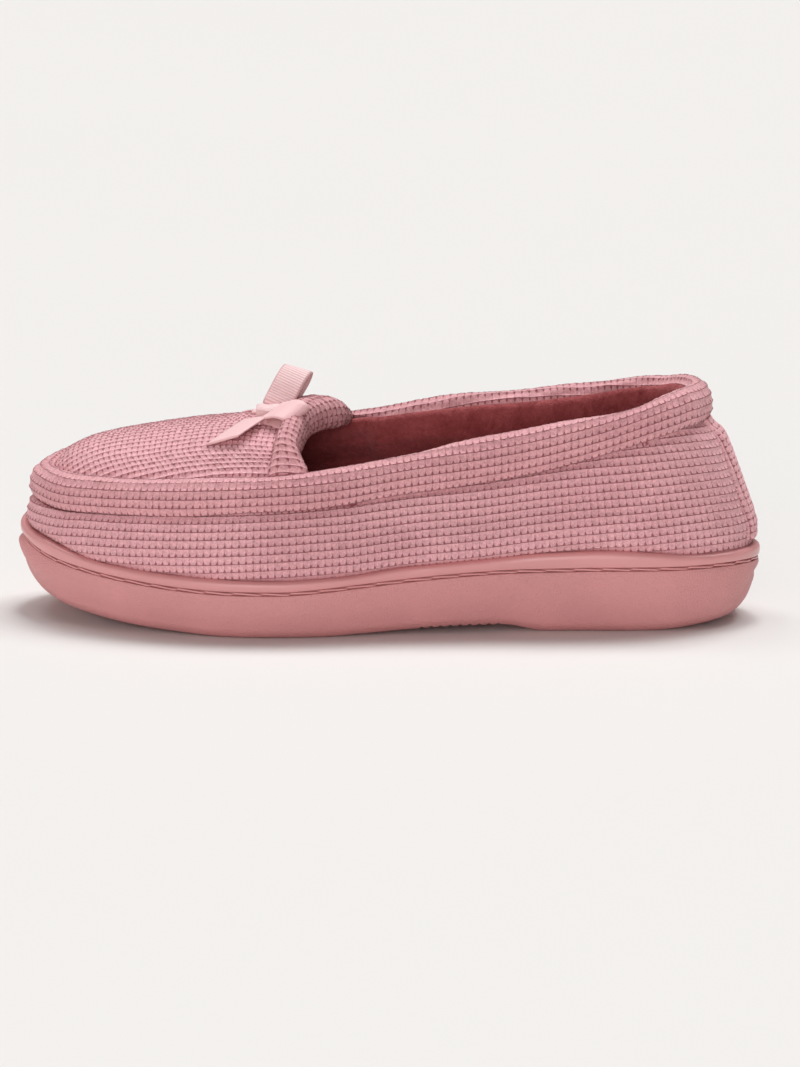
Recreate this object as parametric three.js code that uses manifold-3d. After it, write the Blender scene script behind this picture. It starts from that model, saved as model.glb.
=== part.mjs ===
// Moccasin slipper, left shoe, in millimetres: +X to the toe, +Y to the outer (lateral) side, +Z up.
// The origin is on the ground below the middle of the shoe.
import * as THREE from 'three';
import { mergeVertices } from 'three/addons/utils/BufferGeometryUtils.js';
import Module from 'manifold-3d';

const wasm = await Module();
wasm.setup();

// Driving dimensions
const LENGTH = 250;              // sole, heel to toe
const BALL_WIDTH = 92;           // sole, widest
const COLLAR_HEIGHT = 80.3;      // top of the collar behind the heel
const INSTEP_SHARE = 0.832;      // top of the toe plug at the throat, as a share of the collar's height
const SOLE_HEIGHT = 28;          // top of the sole's lip at the heel
const HEEL_RADIUS = 18;          // of the outline, seen from above
const TOE_RADIUS = 24;
const HEEL_LEAN = 15;            // how far the back leans forward at the crease
const SIDE_LEAN = 5.5;           // how far the sides lean in at the crease
const LEAN_REACH = 0.4;          // share of the length over which the back's lean fades out

const WALL = 2.4;                // upper: plush fabric and lining together
const CLEARANCE = 0.3;           // between pieces that touch
const PAD = 3.1;                 // padding on each side of the wall in the rolled band
const BULGE = 1.2;               // band beyond the crease
const SEAM_SET = 3.8;            // from the band's crest in to the plug's seam
const SEAM_DROP = 0.14;          // plug's seam below the crest, as a share of the band's height
const TUCK = 3.2;                // side panel drawn in where it enters the sole
const FOOT_SET = 1.2;            // further in at the foot of the wall
const SHOULDER = 1.0;            // height of the step under the band
const RIM_DROP = 0.29;           // wall's free edge below the crest, as a share of the band's height
const CREASE_FOLLOW = 0.85;      // share of the crest's rise on the inner side that the crease takes up

const CUP_DEPTH = 7;             // foot bed below the lip
const LIP_DROP = 0.6;            // lip's inner edge below its top
const GROOVE_DEPTH = 1.3;        // stitch groove round the sole
const GROOVE_GAP = 1.1;          // half its opening
const EDGE_ROUND = 3;            // sole's lower edge
const WALL_TAPER = 2.3;          // sole's side draws in towards the ground
const TREAD_WIDTH = 3;
const TREAD_DEPTH = 1.5;
const TREAD_PITCH = 8.5;
const ARCH_TREAD_PITCH = 6;

const INSOLE_THICKNESS = 4.8;
const INSOLE_ROUND = 1.4;

const CUFF_LENGTH = 13.8;        // from the throat's edge forward
const CUFF_HEIGHT = 4.9;         // above the plug
const CUFF_FOLD = 3.2;           // behind the throat's edge
const CUFF_UNDER = 3.6;          // below the plug's wall

const STRIP_WIDTH = 18;          // heel strip
const STRIP_THICKNESS = 2.2;
const STRIP_TOP_SHARE = 0.86;    // its width at the top

const RIBBON_WIDTH = 10;
const RIBBON = 0.8;              // thickness

const COLUMNS = 68;              // round the shoe
const PLUG_COLUMNS = 15;         // of them, from the throat to the toe on each side
const PLUG_STEPS = 12;           // across the plug

// Outline of the sole: share of the length; centre line and half width as shares of the ball width
const OUTLINE = [
  { at: 0.00, centre: 0.000, half: 0.000 },
  { at: 0.03, centre: 0.000, half: 0.185 },
  { at: 0.06, centre: 0.000, half: 0.254 },
  { at: 0.10, centre: 0.003, half: 0.306 },
  { at: 0.16, centre: 0.005, half: 0.334 },
  { at: 0.25, centre: 0.014, half: 0.335 },
  { at: 0.35, centre: 0.034, half: 0.330 },
  { at: 0.45, centre: 0.048, half: 0.360 },
  { at: 0.55, centre: 0.045, half: 0.422 },
  { at: 0.62, centre: 0.027, half: 0.473 },
  { at: 0.70, centre: 0.000, half: 0.500 },
  { at: 0.78, centre: -0.020, half: 0.476 },
  { at: 0.86, centre: -0.042, half: 0.417 },
  { at: 0.92, centre: -0.056, half: 0.332 },
  { at: 0.96, centre: -0.066, half: 0.243 },
  { at: 1.00, centre: -0.072, half: 0.000 },
];

// Rolled band: crease under it and its crest on each side, as shares of the collar's height,
// and how far the crease leans in, as a share of the sides' lean
const BAND = [
  { at: 0.00, crease: 0.856, lateral: 1.000, medial: 1.000, lean: 0.545 },
  { at: 0.03, crease: 0.857, lateral: 0.999, medial: 0.994, lean: 0.620 },
  { at: 0.07, crease: 0.840, lateral: 0.985, medial: 0.976, lean: 0.745 },
  { at: 0.12, crease: 0.807, lateral: 0.950, medial: 0.968, lean: 0.890 },
  { at: 0.17, crease: 0.766, lateral: 0.914, medial: 0.955, lean: 0.960 },
  { at: 0.23, crease: 0.720, lateral: 0.882, medial: 0.935, lean: 1.000 },
  { at: 0.30, crease: 0.673, lateral: 0.848, medial: 0.917, lean: 1.000 },
  { at: 0.37, crease: 0.636, lateral: 0.808, medial: 0.899, lean: 1.000 },
  { at: 0.44, crease: 0.610, lateral: 0.760, medial: 0.867, lean: 1.000 },
  { at: 0.50, crease: 0.582, lateral: 0.725, medial: 0.829, lean: 1.000 },
  { at: 0.55, crease: 0.560, lateral: 0.699, medial: 0.800, lean: 1.000 },
  { at: 0.61, crease: 0.544, lateral: 0.676, medial: 0.760, lean: 0.980 },
  { at: 0.68, crease: 0.531, lateral: 0.660, medial: 0.724, lean: 0.945 },
  { at: 0.76, crease: 0.514, lateral: 0.644, medial: 0.704, lean: 0.890 },
  { at: 0.84, crease: 0.499, lateral: 0.629, medial: 0.690, lean: 0.835 },
  { at: 0.90, crease: 0.487, lateral: 0.621, medial: 0.672, lean: 0.780 },
  { at: 0.95, crease: 0.477, lateral: 0.610, medial: 0.646, lean: 0.710 },
  { at: 1.00, crease: 0.493, lateral: 0.610, medial: 0.610, lean: 0.670 },
];

// Side of the sole: ground line with heel, arch and toe spring, stitch groove and lip,
// as shares of the sole's height
const SOLE_SIDE = [
  { at: 0.000, ground: 0.464, groove: 0.732, lip: 0.900 },
  { at: 0.010, ground: 0.343, groove: 0.746, lip: 0.904 },
  { at: 0.020, ground: 0.221, groove: 0.757, lip: 0.907 },
  { at: 0.040, ground: 0.114, groove: 0.768, lip: 0.914 },
  { at: 0.070, ground: 0.057, groove: 0.775, lip: 0.921 },
  { at: 0.110, ground: 0.018, groove: 0.779, lip: 0.943 },
  { at: 0.150, ground: 0.000, groove: 0.779, lip: 0.975 },
  { at: 0.210, ground: 0.000, groove: 0.779, lip: 1.000 },
  { at: 0.290, ground: 0.000, groove: 0.764, lip: 0.975 },
  { at: 0.345, ground: 0.075, groove: 0.750, lip: 0.925 },
  { at: 0.410, ground: 0.071, groove: 0.721, lip: 0.879 },
  { at: 0.480, ground: 0.043, groove: 0.671, lip: 0.829 },
  { at: 0.540, ground: 0.014, groove: 0.625, lip: 0.757 },
  { at: 0.580, ground: 0.000, groove: 0.593, lip: 0.732 },
  { at: 0.640, ground: 0.000, groove: 0.561, lip: 0.711 },
  { at: 0.710, ground: 0.000, groove: 0.561, lip: 0.718 },
  { at: 0.780, ground: 0.032, groove: 0.586, lip: 0.743 },
  { at: 0.840, ground: 0.071, groove: 0.632, lip: 0.779 },
  { at: 0.890, ground: 0.125, groove: 0.679, lip: 0.821 },
  { at: 0.930, ground: 0.193, groove: 0.732, lip: 0.893 },
  { at: 0.960, ground: 0.286, groove: 0.786, lip: 0.957 },
  { at: 0.980, ground: 0.393, groove: 0.843, lip: 0.979 },
  { at: 0.992, ground: 0.500, groove: 0.889, lip: 1.000 },
  { at: 1.000, ground: 0.625, groove: 0.921, lip: 1.011 },
];

// Top of the toe plug along its middle, as shares of the instep's height
const PLUG_RIDGE = [
  { at: 0.560, height: 1.000 },
  { at: 0.650, height: 0.996 },
  { at: 0.700, height: 0.984 },
  { at: 0.760, height: 0.960 },
  { at: 0.810, height: 0.931 },
  { at: 0.860, height: 0.898 },
  { at: 0.900, height: 0.861 },
  { at: 0.930, height: 0.816 },
  { at: 0.955, height: 0.740 },
];

// Side panel from the lip up to the crease: share of the lean, and share of the tuck
const PANEL = [
  { at: 0.00, lean: 0.08, tuck: 1.00 },
  { at: 0.06, lean: 0.13, tuck: 0.62 },
  { at: 0.17, lean: 0.20, tuck: 0.15 },
  { at: 0.33, lean: 0.31, tuck: 0.00 },
  { at: 0.50, lean: 0.44, tuck: 0.00 },
  { at: 0.66, lean: 0.58, tuck: 0.00 },
  { at: 0.82, lean: 0.74, tuck: 0.00 },
  { at: 1.00, lean: 1.00, tuck: 0.00 },
];

// Value of a table's column at a place: smooth, and with no overshoot between rows
function along(table, column, place) {
  const last = table.length - 1;
  const at = THREE.MathUtils.clamp(place, table[0].at, table[last].at);
  const rise = (i) => (table[i + 1][column] - table[i][column]) / (table[i + 1].at - table[i].at);
  const slope = (i) => {
    if (i === 0) return rise(0);
    if (i === last) return rise(last - 1);
    const before = rise(i - 1);
    const after = rise(i);
    return before * after <= 0 ? 0 : (2 * before * after) / (before + after);
  };
  let k = 0;
  while (k < last - 1 && table[k + 1].at < at) k += 1;
  const span = table[k + 1].at - table[k].at;
  const t = (at - table[k].at) / span;
  const blend = 3 * t ** 2 - 2 * t ** 3;
  const bend = (t ** 3 - 2 * t ** 2 + t) * slope(k) + (t ** 3 - t ** 2) * slope(k + 1);
  return THREE.MathUtils.lerp(table[k][column], table[k + 1][column], blend) + bend * span;
}

// An angle goes round the shoe: 0 at the heel, then the lateral side, PI at the toe, then the medial side
const station = (angle) => (1 - Math.cos(angle)) / 2;
const stationOfX = (x) => x / LENGTH + 0.5;
const angleOfStation = (share) => Math.acos(1 - 2 * share);

// Half width over sin(angle), which stays finite at both ends
const FULLNESS = OUTLINE.map(({ at, half }) => {
  if (at === 0) return { at, width: Math.sqrt((HEEL_RADIUS * LENGTH) / 2) };
  if (at === 1) return { at, width: Math.sqrt((TOE_RADIUS * LENGTH) / 2) };
  return { at, width: (half * BALL_WIDTH) / (2 * Math.sqrt(at * (1 - at))) };
});
const centreAt = (share) => BALL_WIDTH * along(OUTLINE, 'centre', share);

function outline(angle) {
  const share = station(angle);
  const y = centreAt(share) + along(FULLNESS, 'width', share) * Math.sin(angle);
  return new THREE.Vector2(LENGTH * (share - 0.5), y);
}

// Point at an inset from the sole's outline, square to it
function rim(angle, inset, z) {
  const step = 1e-3;
  const run = outline(angle + step).sub(outline(angle - step)).normalize();
  const foot = outline(angle);
  return new THREE.Vector3(foot.x + run.y * inset, foot.y - run.x * inset, z);
}

// Share of the lateral side at an angle: 1 on it, 0 on the medial side, passing smoothly at the ends
function lateralShare(angle) {
  const q = Math.sin(angle);
  return 0.5 + (0.5 * q * Math.sqrt(1.1)) / Math.sqrt(q * q + 0.1);
}

const lipHeight = (angle) => SOLE_HEIGHT * along(SOLE_SIDE, 'lip', station(angle));
const grooveHeight = (angle) => SOLE_HEIGHT * along(SOLE_SIDE, 'groove', station(angle));
const groundHeight = (x) => SOLE_HEIGHT * along(SOLE_SIDE, 'ground', stationOfX(x));
const sideLean = (angle) => SIDE_LEAN * along(BAND, 'lean', station(angle));
const heelLean = (angle) => HEEL_LEAN * Math.max(1 - station(angle) / LEAN_REACH, 0) ** 2;

function crestHeight(angle) {
  const share = station(angle);
  const side = lateralShare(angle);
  return COLLAR_HEIGHT * (side * along(BAND, 'lateral', share) + (1 - side) * along(BAND, 'medial', share));
}

function creaseHeight(angle) {
  const share = station(angle);
  const rise = crestHeight(angle) - COLLAR_HEIGHT * along(BAND, 'lateral', share);
  return COLLAR_HEIGHT * along(BAND, 'crease', share) + CREASE_FOLLOW * rise;
}

// Crease's line in plan, and a point set in from it, square to it
function creaseLine(angle) {
  const point = rim(angle, sideLean(angle), 0);
  return new THREE.Vector2(point.x + heelLean(angle), point.y);
}

function insideCrease(angle, inset, z) {
  const step = 1e-3;
  const run = creaseLine(angle + step).sub(creaseLine(angle - step)).normalize();
  const foot = creaseLine(angle);
  return new THREE.Vector3(foot.x + run.y * inset, foot.y - run.x * inset, z);
}

// Insets from the crease: of the wall inside the band, and of the plug's seam
const WALL_SET = PAD - BULGE + CLEARANCE;
const SEAM_INSET = WALL_SET + WALL / 2 + SEAM_SET;

// Throat: where the plug's rear edge meets the band on each side
const THROAT_LATERAL = angleOfStation(0.604);
const THROAT_MEDIAL = 2 * Math.PI - angleOfStation(0.56);
const THROAT_CLEAR = 0.05;       // angle left clear behind it for the cuff's fold
const SEAM_FADE = 0.09;          // angle over which the wall's free edge turns in to the seam
const LEG_FADE = 0.12;           // angle over which the band's inner leg runs out before that

// 0 along the collar, 1 round the toe, passing over an angle that ends a set angle behind the throat
function toeShare(angle, behind, span) {
  const a = THREE.MathUtils.euclideanModulo(angle, 2 * Math.PI);
  const ahead = Math.min(a - THROAT_LATERAL, THROAT_MEDIAL - a);
  return THREE.MathUtils.smoothstep(ahead, -behind - span, -behind);
}
const seamShare = (angle) => toeShare(angle, THROAT_CLEAR, SEAM_FADE);
const legShare = (angle) => toeShare(angle, THROAT_CLEAR + SEAM_FADE, LEG_FADE);

// Column angles: the plug's are in pairs from the throat to the toe, the rest go round the collar
function columnAngles() {
  const angles = [];
  for (let i = 0; i < PLUG_COLUMNS; i += 1) {
    angles.push(THREE.MathUtils.lerp(THROAT_LATERAL, Math.PI, i / PLUG_COLUMNS));
  }
  for (let i = 0; i < PLUG_COLUMNS; i += 1) {
    angles.push(THREE.MathUtils.lerp(Math.PI, THROAT_MEDIAL, i / PLUG_COLUMNS));
  }
  const collar = COLUMNS - 2 * PLUG_COLUMNS;
  for (let i = 0; i < collar; i += 1) {
    angles.push(THREE.MathUtils.lerp(THROAT_MEDIAL, THROAT_LATERAL + 2 * Math.PI, i / collar));
  }
  return angles;
}
const ANGLES = columnAngles();
const EVEN_ANGLES = Array.from({ length: COLUMNS }, (_, i) => (2 * Math.PI * i) / COLUMNS);

// Collects quads of points into one closed body
class Skin {
  constructor() {
    this.points = [];
  }

  triangle(a, b, c) {
    this.points.push(a, b, c);
  }

  quad(a, b, c, d) {
    this.triangle(a, b, c);
    this.triangle(a, c, d);
  }

  // Rows of points; each row closes on itself where wrap is true. Quads that twist are folded along
  // one diagonal or the other, so that faces that lie together fold the same way.
  grid(rows, wrap, otherFold = false) {
    for (let r = 0; r + 1 < rows.length; r += 1) {
      const count = rows[r].length;
      for (let i = 0; i < (wrap ? count : count - 1); i += 1) {
        const j = (i + 1) % count;
        const corners = [rows[r][i], rows[r][j], rows[r + 1][j], rows[r + 1][i]];
        if (otherFold) corners.push(corners.shift());
        this.quad(...corners);
      }
    }
  }

  geometry() {
    const soup = new THREE.BufferGeometry().setFromPoints(this.points);
    const merged = mergeVertices(soup, 1e-4);
    const index = merged.index.array;
    const kept = [];
    for (let i = 0; i < index.length; i += 3) {
      const [a, b, c] = [index[i], index[i + 1], index[i + 2]];
      if (a !== b && b !== c && c !== a) kept.push(a, b, c);
    }
    merged.setIndex(kept);
    return volume(merged) < 0 ? flipped(merged) : merged;
  }
}

function volume(geometry) {
  const place = geometry.attributes.position;
  const index = geometry.index.array;
  const corner = (i) => new THREE.Vector3().fromBufferAttribute(place, index[i]);
  let sum = 0;
  for (let i = 0; i < index.length; i += 3) {
    sum += corner(i).dot(corner(i + 1).cross(corner(i + 2))) / 6;
  }
  return sum;
}

function flipped(geometry) {
  const index = Array.from(geometry.index.array);
  for (let i = 0; i < index.length; i += 3) {
    [index[i + 1], index[i + 2]] = [index[i + 2], index[i + 1]];
  }
  geometry.setIndex(index);
  return geometry;
}

// Sections placed one after another along a way: a closed loop of sections, or an open row with ends
function sweep(sections, closed) {
  const skin = new Skin();
  const rows = closed ? [...sections, sections[0]] : sections;
  skin.grid(rows, true, true);
  if (!closed) {
    cap(skin, sections[0], false);
    cap(skin, sections[sections.length - 1], true);
  }
  return skin.geometry();
}

// Closes one end of a sweep with triangles found in the section's own plane
function cap(skin, section, last) {
  const origin = section[0];
  const normal = new THREE.Vector3();
  section.forEach((point, i) => {
    const next = section[(i + 1) % section.length];
    normal.add(point.clone().sub(origin).cross(next.clone().sub(origin)));
  });
  normal.normalize();
  const across = section[1].clone().sub(origin).normalize();
  across.addScaledVector(normal, -across.dot(normal)).normalize();
  const up = normal.clone().cross(across);
  const flat = section.map((p) => {
    const d = p.clone().sub(origin);
    return new THREE.Vector2(d.dot(across), d.dot(up));
  });
  for (const [a, b, c] of THREE.ShapeUtils.triangulateShape(flat, [])) {
    if (last) skin.triangle(section[a], section[b], section[c]);
    else skin.triangle(section[a], section[c], section[b]);
  }
}

function solidOf(geometry) {
  return new wasm.Manifold(new wasm.Mesh({
    numProp: 3,
    vertProperties: new Float32Array(geometry.attributes.position.array),
    triVerts: new Uint32Array(geometry.index.array),
  }));
}

function geometryOf(solid) {
  const mesh = solid.getMesh();
  const geometry = new THREE.BufferGeometry();
  geometry.setAttribute('position', new THREE.BufferAttribute(new Float32Array(mesh.vertProperties), 3));
  geometry.setIndex(new THREE.BufferAttribute(new Uint32Array(mesh.triVerts), 1));
  return geometry;
}

// Point between a ring and the shoe's middle line: share 1 on the ring, 0 on the line
const SPINE_SHARE = 0.8;         // the middle line's length as a share of the shoe's
function towardsSpine(angle, inset, share, height) {
  const ring = rim(angle, inset, 0);
  const spineX = LENGTH * (station(angle) - 0.5) * SPINE_SHARE;
  const spineY = centreAt(stationOfX(spineX));
  const x = THREE.MathUtils.lerp(spineX, ring.x, share);
  const y = THREE.MathUtils.lerp(spineY, ring.y, share);
  return new THREE.Vector3(x, y, height(x, angle));
}

const footInset = (angle) => TUCK + PANEL[0].lean * (sideLean(angle) + heelLean(angle));
const bedHeight = (x) => SOLE_HEIGHT * along(SOLE_SIDE, 'lip', stationOfX(x)) - CUP_DEPTH;
const insoleEdge = (angle) => footInset(angle) + FOOT_SET + WALL + CLEARANCE;

// Sole unit: tread, tapering side, stitch groove, lip, and the cup that holds the upper's foot
function soleUnit() {
  const ring = (inset, height) => EVEN_ANGLES.map((a) => {
    const at = typeof inset === 'function' ? inset(a) : inset;
    const point = rim(a, at, 0);
    point.z = height(a, point.x);
    return point;
  });
  const inward = (inset, share, height) => EVEN_ANGLES.map((a) => {
    const at = typeof inset === 'function' ? inset(a) : inset;
    return towardsSpine(a, at, share, height);
  });
  const bed = (a) => footInset(a) + FOOT_SET - CLEARANCE;
  const bedInner = (a) => insoleEdge(a) + INSOLE_ROUND;
  const rows = [
    inward(EDGE_ROUND * 2, 0, groundHeight),
    inward(EDGE_ROUND * 2, 0.5, groundHeight),
    inward(EDGE_ROUND * 2, 1, groundHeight),
    ring(WALL_TAPER + 0.6, (a, x) => groundHeight(x) + 0.15 * EDGE_ROUND),
    ring(WALL_TAPER - 0.3, (a, x) => groundHeight(x) + 0.7 * EDGE_ROUND),
    ring(WALL_TAPER / 2, (a, x) => (groundHeight(x) + grooveHeight(a)) / 2),
    ring(0.5, (a) => grooveHeight(a) - GROOVE_GAP - 1),
    ring(0.9, (a) => grooveHeight(a) - GROOVE_GAP),
    ring(0.5 + GROOVE_DEPTH, (a) => grooveHeight(a)),
    ring(0.6, (a) => grooveHeight(a) + GROOVE_GAP),
    ring(0.0, (a) => (grooveHeight(a) + GROOVE_GAP) * 0.55 + lipHeight(a) * 0.45),
    ring(0.7, (a) => lipHeight(a) - 0.3),
    ring(1.9, (a) => lipHeight(a)),
    ring((a) => footInset(a) - CLEARANCE, (a) => lipHeight(a) - LIP_DROP),
    ring(bed, (a, x) => bedHeight(x)),
    ring(bedInner, (a, x) => bedHeight(x)),
    inward(bedInner, 0.5, bedHeight),
    inward(bedInner, 0, bedHeight),
  ];
  const skin = new Skin();
  skin.grid(rows, true);
  let solid = solidOf(skin.geometry());
  for (const groove of treadGrooves()) solid = solid.subtract(solidOf(groove));
  return geometryOf(solid);
}

// Grooves across the tread: inside a plain border under the forefoot and heel, edge to edge at the arch
function treadGrooves() {
  const zones = [
    { from: 0.07, to: 0.29, pitch: TREAD_PITCH, reach: 0.72 },
    { from: 0.35, to: 0.45, pitch: ARCH_TREAD_PITCH, reach: 1.3 },
    { from: 0.53, to: 0.90, pitch: TREAD_PITCH, reach: 0.72 },
  ];
  const grooves = [];
  for (const { from, to, pitch, reach } of zones) {
    const count = Math.floor(((to - from) * LENGTH) / pitch);
    for (let i = 0; i <= count; i += 1) {
      const x = LENGTH * (from - 0.5) + i * pitch;
      const share = stationOfX(x);
      const half = along(FULLNESS, 'width', share) * 2 * Math.sqrt(share * (1 - share)) * reach;
      const top = groundHeight(x) + TREAD_DEPTH;
      const box = new THREE.BoxGeometry(TREAD_WIDTH, 2 * half, top + 2);
      box.translate(x, centreAt(share), (top - 2) / 2);
      box.deleteAttribute('normal');
      box.deleteAttribute('uv');
      grooves.push(mergeVertices(box, 1e-4));
    }
  }
  return grooves;
}

// Insole: soft board lying in the cup, inside the upper's foot
function insole() {
  const low = (x) => bedHeight(x) + CLEARANCE;
  const high = (x) => low(x) + INSOLE_THICKNESS;
  const ring = (inset, height) => EVEN_ANGLES.map((a) => {
    const point = rim(a, insoleEdge(a) + inset, 0);
    point.z = height(point.x);
    return point;
  });
  const inward = (share, height) => EVEN_ANGLES.map((a) =>
    towardsSpine(a, insoleEdge(a) + INSOLE_ROUND, share, height));
  const skin = new Skin();
  skin.grid([
    inward(0, low),
    inward(0.5, low),
    ring(INSOLE_ROUND, low),
    ring(0, (x) => low(x) + INSOLE_ROUND),
    ring(0, (x) => high(x) - INSOLE_ROUND),
    ring(INSOLE_ROUND, high),
    inward(0.5, high),
    inward(0, high),
  ], true);
  return skin.geometry();
}

// Side panel: 0 at the lip to 1 at the crease, and a depth in from its outer surface
function panelLine(angle, share) {
  const lean = along(PANEL, 'lean', share);
  const point = rim(angle, lean * sideLean(angle) + TUCK * along(PANEL, 'tuck', share), 0);
  point.x += lean * heelLean(angle);
  return point.setZ(THREE.MathUtils.lerp(lipHeight(angle), creaseHeight(angle), share));
}

function panelPoint(angle, share, depth = 0) {
  const step = 0.01;
  const point = panelLine(angle, share);
  const round = panelLine(angle + step, share).sub(panelLine(angle - step, share));
  const up = panelLine(angle, Math.min(share + step, 1)).sub(panelLine(angle, Math.max(share - step, 0)));
  const inward = round.cross(up).normalize();
  return point.addScaledVector(inward, depth);
}

// Top of the wall: a free edge along the collar, and the plug's seam round the toe
function wallTop(angle, depth) {
  const toe = seamShare(angle);
  const inset = THREE.MathUtils.lerp(WALL_SET + depth, SEAM_INSET + depth * 0.8, toe);
  const height = crestHeight(angle) - creaseHeight(angle);
  const drop = THREE.MathUtils.lerp(RIM_DROP * height, SEAM_DROP * height + depth * 0.7, toe);
  return insideCrease(angle, inset, crestHeight(angle) - drop);
}

const ridgeHeight = (share) => COLLAR_HEIGHT * INSTEP_SHARE * along(PLUG_RIDGE, 'height', share);

// Toe plug: 0 at the throat to 1 at the toe, and 0 at the lateral seam to 1 at the medial one
function plugPoint(forward, across, depth = 0) {
  const lateral = wallTop(THREE.MathUtils.lerp(THROAT_LATERAL, Math.PI, forward), depth);
  const medial = wallTop(THREE.MathUtils.lerp(THROAT_MEDIAL, Math.PI, forward), depth);
  const middle = lateral.clone().add(medial).multiplyScalar(0.5);
  const runOut = 1 - forward ** 12;
  const crown = runOut * Math.max(ridgeHeight(stationOfX(middle.x)) - depth - middle.z, 0);
  const point = lateral.clone().lerp(medial, across);
  point.z += crown * Math.max(1 - Math.abs(2 * across - 1) ** 2.2, 0) ** 0.8;
  return point;
}

// Upper: side panel, the stepped seat under the band, and the toe plug, as one hollow wall.
// It is open at the collar, and underneath, where the sole closes it.
function upper() {
  const foot = (depth) => ANGLES.map((a) => {
    const point = rim(a, footInset(a) + FOOT_SET + depth, 0);
    return point.setZ(bedHeight(point.x) + 1.5 * CLEARANCE);
  });
  const tuck = (depth) => ANGLES.map((a) => rim(a, footInset(a) + depth, lipHeight(a) - LIP_DROP / 2));
  const panel = (share, depth) => ANGLES.map((a) => panelPoint(a, share, depth));
  const seat = (inset, height) => ANGLES.map((a) => insideCrease(a, inset, creaseHeight(a) + height));
  const outer = [
    foot(0),
    tuck(0),
    ...[0.06, 0.17, 0.33, 0.5, 0.66, 0.82, 1].map((share) => panel(share, 0)),
    seat(WALL_SET, 0.02),
    seat(WALL_SET, SHOULDER),
    ANGLES.map((a) => wallTop(a, 0)),
  ];
  const inner = [
    ANGLES.map((a) => wallTop(a, WALL)),
    seat(WALL_SET + WALL, SHOULDER),
    ...[0.82, 0.66, 0.5, 0.33, 0.17].map((share) => panel(share, WALL)),
    tuck(WALL),
    foot(WALL),
  ];
  const skin = new Skin();
  skin.grid(outer, true);
  skin.grid(inner, true);
  skin.grid([foot(WALL), foot(0)], true);
  const plugRows = (depth) => Array.from({ length: PLUG_COLUMNS + 1 }, (_, i) =>
    Array.from({ length: PLUG_STEPS + 1 }, (_, j) => plugPoint(i / PLUG_COLUMNS, j / PLUG_STEPS, depth)));
  const outerPlug = plugRows(0);
  const innerPlug = plugRows(WALL);
  skin.grid([...outerPlug].reverse(), false);
  skin.grid(innerPlug, false);
  skin.grid([outerPlug[0], innerPlug[0]], false);
  const free = [...ANGLES.slice(2 * PLUG_COLUMNS), ANGLES[0]];
  skin.grid([free.map((a) => wallTop(a, 0)), free.map((a) => wallTop(a, WALL))], false);
  return skin.geometry();
}

// Section of the rolled band outside its crest: how far out from the wall's outer face, as a share of
// the padding, and how high on the way from crease to crest
const ROLL_OUTSIDE = [
  { out: 0.13, height: 0.04 },
  { out: 0.52, height: 0.03 },
  { out: 0.84, height: 0.13 },
  { out: 1.00, height: 0.38 },
  { out: 0.87, height: 0.66 },
  { out: 0.37, height: 0.90 },
];

// The crest and what is inside it. Along the collar it wraps the wall's free edge, and before the
// throat it runs out to a cap on that edge: in from the wall's inner face, as shares of the padding.
// Round the toe it ends at the plug's seam: in from the wall's middle, as shares of the seam's set.
const ROLL_INSIDE = [
  { collar: [-0.387, 1.000], cap: [-0.387, 1.000], toe: [0.000, 1.000] },
  { collar: [0.387, 0.920], cap: [0.323, 0.940], toe: [0.474, 0.985] },
  { collar: [0.903, 0.740], cap: [0.677, 0.870], toe: [0.711, 0.965] },
  { collar: [1.097, 0.560], cap: [0.710, 0.820], toe: [0.816, 0.945] },
  { collar: [0.903, 0.420], cap: [0.516, 0.785], toe: [0.855, 0.930] },
  { collar: [0.129, 0.420], cap: [0.258, 0.770], toe: [0.868, 0.915] },
];

function paddedBand() {
  const sections = ANGLES.map((a) => {
    const low = creaseHeight(a);
    const high = crestHeight(a);
    const leg = legShare(a);
    const toe = seamShare(a);
    const place = (inward, share) =>
      insideCrease(a, WALL_SET + inward, THREE.MathUtils.lerp(low, high, share));
    const points = ROLL_OUTSIDE.map(({ out, height }) => place(-out * PAD, height));
    for (const row of ROLL_INSIDE) {
      const behind = (i) => THREE.MathUtils.lerp(row.collar[i], row.cap[i], leg);
      const inward = THREE.MathUtils.lerp(WALL + behind(0) * PAD, WALL / 2 + row.toe[0] * SEAM_SET, toe);
      points.push(place(inward, THREE.MathUtils.lerp(behind(1), row.toe[1], toe)));
    }
    const innerTop = wallTop(a, WALL);
    const outerTop = wallTop(a, 0);
    const inward = insideCrease(a, 1, 0).sub(insideCrease(a, 0, 0));
    const gap = CLEARANCE * (1.2 + 5 * toe * (1 - toe) + 3 * leg * (1 - leg));
    const seamCorner = outerTop.clone().addScaledVector(inward, -gap * 0.8).setZ(outerTop.z + gap * 0.7);
    const overInner = innerTop.clone().addScaledVector(inward, gap).setZ(innerTop.z + gap);
    const overOuter = outerTop.clone().addScaledVector(inward, -gap).setZ(outerTop.z + gap);
    points.push(overInner.lerp(seamCorner.clone().setZ(seamCorner.z + 0.2), toe));
    points.push(overOuter.lerp(seamCorner, toe));
    points.push(insideCrease(a, WALL_SET - gap, low + SHOULDER + gap));
    return points;
  });
  return sweep(sections, true);
}

// Place on the plug at a distance ahead of the throat's edge: its point and its outward direction
function plugFrame(ahead, across) {
  const step = 0.01;
  const here = plugPoint(0, across);
  const next = plugPoint(step, across);
  const rate = next.distanceTo(here) / step;
  const share = Math.max(ahead, 0) / rate;
  const base = plugPoint(share, across);
  const forward = plugPoint(share + step, across).sub(base).normalize();
  const side = plugPoint(share, Math.min(across + step, 1)).sub(plugPoint(share, Math.max(across - step, 0)));
  const outward = side.clone().cross(forward).normalize();
  if (outward.z < 0) outward.negate();
  if (ahead < 0) base.addScaledVector(forward, ahead);
  return { base, outward };
}

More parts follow.
